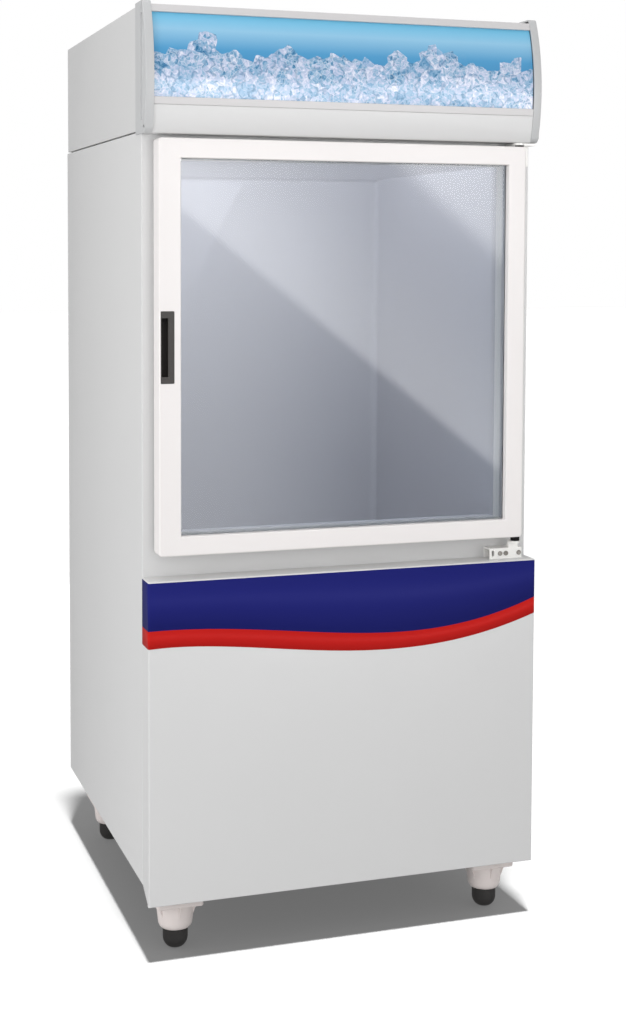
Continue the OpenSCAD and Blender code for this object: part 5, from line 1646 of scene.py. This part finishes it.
CARRIED = tuple(Carried(*row) for row in (
    ("back_panel", Paint.SHEET, 0.4), ("top_panel", Paint.SHEET, 0.3),
    ("underfloor_panel", Paint.GALVANISED), ("foam_insulation", Paint.FOAM),
    ("breaker_trim", Paint.WHITE, 0.6), ("evaporator_coil", Paint.COPPER),
    ("drain_fitting", Paint.WHITE, 0.4), ("floor_rack", Paint.WIRE),
    ("base_frame", Paint.FRAME_STEEL, 0.5), ("rear_grille", Paint.SHEET, 0.3),
    ("compressor", Paint.ENAMEL, 0.8), ("compressor_grommets", Paint.RUBBER, 0.4),
    ("compressor_bolts", Paint.ZINC, 0.3), ("starter_box", Paint.BLACK, 0.8),
    ("drip_tray", Paint.BLACK, 0.8), ("condenser_fins", Paint.ALUMINIUM),
    ("condenser_coil", Paint.COPPER), ("condenser_ends", Paint.GALVANISED, 0.3),
    ("fan_shroud", Paint.BLACK, 0.6), ("fan_motor", Paint.FRAME_STEEL, 0.5),
    ("fan_rotor", Paint.WHITE, 0.3), ("filter_drier", Paint.COPPER),
    ("refrigerant_lines", Paint.COPPER), ("control_box", Paint.BLACK, 0.5),
    ("thermostat_knob", Paint.BLACK, 0.4), ("lamp_rocker", Paint.RED, 0.5),
    ("power_inlet", Paint.BLACK, 0.5), ("lamp_tube", Paint.LAMP, 0.3),
    ("lamp_holders", Paint.WHITE, 0.5), ("lamp_driver", Paint.GALVANISED, 0.4),
    ("glazing_bead", Paint.WHITE, 0.5), ("hinge_brackets", Paint.HINGE, 0.5),
    ("hinge_bushings", Paint.BUSHING, 0.4), ("screws", Paint.ZINC, 0.2),
))


# ---------------------------------------------------------------- studio

def look(along: Vector) -> Euler:
    """Turn of a lamp that shines along a direction."""
    return along.to_track_quat("-Z", "Y").to_euler()


def flat_square(name: str, size: float, material: Material) -> Object:
    """Puts a level square of one face in the scene, its size in metres."""
    bm = bmesh.new()
    bmesh.ops.create_grid(bm, x_segments=1, y_segments=1, size=size / 2)
    mesh = bpy.data.meshes.new(name)
    bm.to_mesh(mesh)
    bm.free()
    mesh.materials.append(material)
    return put(name, mesh)


@dataclass(frozen=True)
class Lamp:
    """A soft rectangular lamp that looks at a point."""

    name: str
    place: Triple
    aim: Triple
    size: Pair
    power: float
    spread: float = 180.0

    def light(self) -> Object:
        """Puts the lamp in the scene."""
        data = bpy.data.lights.new(self.name, "AREA")
        data.shape = "RECTANGLE"
        data.size, data.size_y = self.size
        data.energy = self.power
        data.spread = math.radians(self.spread)
        obj = put(self.name, data)
        obj.location = self.place
        obj.rotation_euler = look(Vector(self.aim) - Vector(self.place))
        return obj


@dataclass(frozen=True)
class Card:
    """A glowing card that only shows in gloss, brightest along one edge."""

    name: str
    start: Triple
    end: Triple
    toward: Triple
    depth: float
    glow: float
    soft: float = 0.08

    def hang(self) -> None:
        """Puts the card in the scene, from its bright edge across to where it has faded."""
        a, b = Vector(self.start), Vector(self.end)
        along = (b - a).normalized()
        across = Vector(self.toward).normalized()
        across = (across - along * across.dot(along)).normalized()
        obj = flat_square(self.name, 1.0, self.material())
        basis = Matrix((across, along, across.cross(along))).transposed().to_4x4()
        middle = (a + b) / 2 + across * self.depth / 2
        scale = Matrix.Diagonal((self.depth, (b - a).length, 1.0, 1.0))
        obj.matrix_world = Matrix.Translation(middle) @ basis @ scale
        obj.visible_camera = obj.visible_diffuse = obj.visible_transmission = False
        obj.visible_shadow = obj.visible_volume_scatter = False
        obj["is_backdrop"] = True

    def material(self) -> Material:
        """Glow that fades across the card, over a clear ground."""
        made, graph = new_material(self.name)
        across = graph.axes(graph.place())["X"]
        fade = graph.span(across, -0.5, 0.5, self.glow, 0.0, smooth=True)
        rise = graph.span(across, -0.5, -0.5 + self.soft, smooth=True)
        strength = graph.math("MULTIPLY", fade, rise)
        glow = graph.add("ShaderNodeEmission", {"Strength": strength})
        clear = graph.add("ShaderNodeBsdfTransparent")
        graph.show(graph.add("ShaderNodeAddShader", {0: glow.outputs[0], 1: clear.outputs[0]}))
        return made


@dataclass
class Studio:
    """Camera, floor, world and lamps."""

    eye: Triple = (-1.0210, -3.1884, 1.2716)
    yaw: float = 18.704
    pitch: float = -3.417
    roll: float = 0.222
    lens: float = 57.99
    shift_y: float = -0.1588
    sensor: float = 36.0
    view_end: float = 200.0
    ambient: float = 0.80
    gloss: float = 0.38
    floor_bounce: Triple = (0.12, 0.12, 0.12)
    floor_tone: Triple = (0.15, 0.15, 0.15)
    floor_glow: float = 0.14
    floor_size: float = 60.0
    sun: float = 18.0
    sun_tilt: Pair = (-1.0, -7.6)
    sun_spread: float = 3.6
    soft_lamps: tuple[Lamp, ...] = (
        Lamp("front_key", (-1.6, -4.2, 2.6), (0.0, -0.3, 0.9), (2.6, 2.6), 26.0),
        Lamp("left_strip", (-3.4, -1.6, 1.4), (-0.3, 0.0, 0.9), (0.9, 2.6), 38.0),
        Lamp("top_soft", (-0.4, -0.6, 4.2), (0.0, 0.0, 1.6), (2.4, 2.4), 26.0),
    )
    well_lamps: tuple[Lamp, ...] = (
        Lamp("well_over", (-0.05, -0.12, 1.86), (0.02, 0.1, 1.0), (0.5, 0.4), 7.5),
        Lamp("well_ceiling", (0.0, 0.0, -4.0), (0.0, 0.05, 1.4), (0.6, 0.6), 2.2, 20.0),
    )
    cards: tuple[Card, ...] = (
        Card("band_low", (0.10, -3.5, 1.69), (2.20, -3.5, 0.043), (0.6, 0.0, 0.8), 0.62, 4.4),
        Card("band_high", (1.10, -3.55, 1.765), (2.20, -3.55, 0.833), (0.6, 0.0, 0.8), 1.3, 5.0),
        Card("left_haze", (0.42, -3.6, -0.1), (0.42, -3.6, 1.9), (1.0, 0.0, 0.0), 0.95, 4.0),
        Card("top_haze", (0.2, -3.65, 1.95), (2.4, -3.65, 1.95), (0.0, 0.0, -1.0), 1.75, 2.6),
    )

    def build(self) -> None:
        """Makes the whole studio."""
        self.camera()
        self.floor()
        self.world()
        self.lamps()
        bpy.context.scene.view_settings.view_transform = "Standard"

    def camera(self) -> None:
        """Camera at the photograph's viewpoint."""
        yaw, pitch, roll = (math.radians(a) for a in (self.yaw, self.pitch, self.roll))
        ahead = Vector((math.sin(yaw) * math.cos(pitch), math.cos(yaw) * math.cos(pitch),
                        math.sin(pitch)))
        level = Vector((math.cos(yaw), -math.sin(yaw), 0.0))
        above = level.cross(ahead)
        right = math.cos(roll) * level + math.sin(roll) * above
        up = math.cos(roll) * above - math.sin(roll) * level
        data = bpy.data.cameras.new("camera")
        data.lens = self.lens
        data.sensor_width = self.sensor
        data.sensor_fit = "AUTO"
        data.shift_y = self.shift_y
        data.clip_end = self.view_end
        obj = put("camera", data)
        turn = Matrix((right, up, -ahead)).transposed().to_4x4()
        obj.matrix_world = Matrix.Translation(self.eye) @ turn
        bpy.context.scene.camera = obj

    def floor(self) -> None:
        """Plain pale floor that is white to the camera and keeps the shadow."""
        material, graph = new_material("pale floor")
        rays = graph.add("ShaderNodeLightPath").outputs
        seen = self.seen(graph, rays)
        color = graph.blend(seen, (*self.floor_bounce, 1.0), (*self.floor_tone, 1.0))
        paint = graph.add("ShaderNodeBsdfDiffuse", {0: color})
        strength = graph.math("MULTIPLY", seen, self.floor_glow)
        lift = graph.add("ShaderNodeEmission", {0: WHITE_LIGHT, 1: strength})
        both = graph.add("ShaderNodeAddShader", {0: paint.outputs[0], 1: lift.outputs[0]})
        level = graph.add("ShaderNodeEmission", {0: WHITE_LIGHT, 1: self.gloss})
        graph.show(graph.add("ShaderNodeMixShader", {
            0: self.mirrored(graph, rays), 1: both.outputs[0], 2: level.outputs[0]}))
        obj = flat_square("floor", self.floor_size, material)
        obj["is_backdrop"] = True

    def world(self) -> None:
        """Even ambient light behind a background that is white to the eye."""
        world = bpy.data.worlds.new("studio")
        bpy.context.scene.world = world
        world.use_nodes = True
        graph = Graph(world.node_tree)
        rays = graph.add("ShaderNodeLightPath").outputs
        seen = self.seen(graph, rays)
        level = graph.math("MULTIPLY_ADD", self.mirrored(graph, rays),
                           self.gloss - self.ambient, self.ambient)
        sockets = {0: seen, 2: level, 3: 1.0}
        level = graph.add("ShaderNodeMix", sockets, data_type="FLOAT").outputs[0]
        light = graph.add("ShaderNodeBackground", {0: WHITE_LIGHT, 1: level})
        graph.add("ShaderNodeOutputWorld", {0: light.outputs[0]})

    @staticmethod
    def seen(graph: Graph, rays: Outputs) -> Socket:
        """Whether the eye sees this directly or through glass alone."""
        bounces = graph.math("ADD", rays["Diffuse Depth"], rays["Glossy Depth"])
        direct = graph.math("LESS_THAN", bounces, 0.5)
        through = graph.math("MULTIPLY", rays["Is Transmission Ray"], direct)
        return graph.math("MAXIMUM", rays["Is Camera Ray"], through)

    @staticmethod
    def mirrored(graph: Graph, rays: Outputs) -> Socket:
        """Whether this is seen in a gloss, in front of glass or behind it."""
        plain = graph.math("LESS_THAN", rays["Diffuse Depth"], 0.5)
        glossy = graph.math("GREATER_THAN", rays["Glossy Depth"], 0.5)
        return graph.math("MULTIPLY", glossy, plain)

    @staticmethod
    def group(name: str, members: Iterable[Object]) -> bpy.types.Collection:
        """Objects that a lamp shines on, or that may shade it."""
        made = bpy.data.collections.new(name)
        for obj in members:
            made.objects.link(obj)
        return made

    def lamps(self) -> None:
        """Overhead sun for the floor's shadow, soft lamps for the object, and the cards."""
        objects = bpy.data.objects
        data = bpy.data.lights.new("overhead", "SUN")
        data.energy = self.sun
        data.angle = math.radians(self.sun_spread)
        sun = put("overhead", data)
        tilt_x, tilt_y = (math.radians(a) for a in self.sun_tilt)
        sun.rotation_euler = look(Vector((-math.tan(tilt_x), -math.tan(tilt_y), -1.0)))
        sun.light_linking.receiver_collection = self.group("lit by the sun", [objects["floor"]])
        freezer = self.group("lit by the soft lamps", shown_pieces())
        for lamp in self.soft_lamps:
            lamp.light().light_linking.receiver_collection = freezer
        # The well's lamps light the tank and its rack alone. Of all pieces only one foot's tip,
        # which stands out of their way, may shade them, so the light box and the panes don't.
        tank = self.group("lit by the well lamps",
                          [objects[n] for n in ("well_liner", "floor_rack")])
        clear = self.group("shades nothing in the well", [objects["rubber_tip_rear_right"]])
        for lamp in self.well_lamps:
            well = lamp.light()
            well.light_linking.receiver_collection = tank
            well.light_linking.blocker_collection = clear
            well.visible_camera = well.visible_transmission = well.visible_glossy = False
        for card in self.cards:
            card.hang()


def main() -> None:
    logging.basicConfig(level=logging.INFO, format="%(name)s: %(message)s")
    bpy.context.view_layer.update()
    for part in (Cabinet(), Apron(), Header(), Door(), Feet()):
        LOG.info("building %s", type(part).__name__)
        part.build()
    for carried in CARRIED:
        carried.dress()
    Studio().build()


if __name__ == "__main__":
    main()
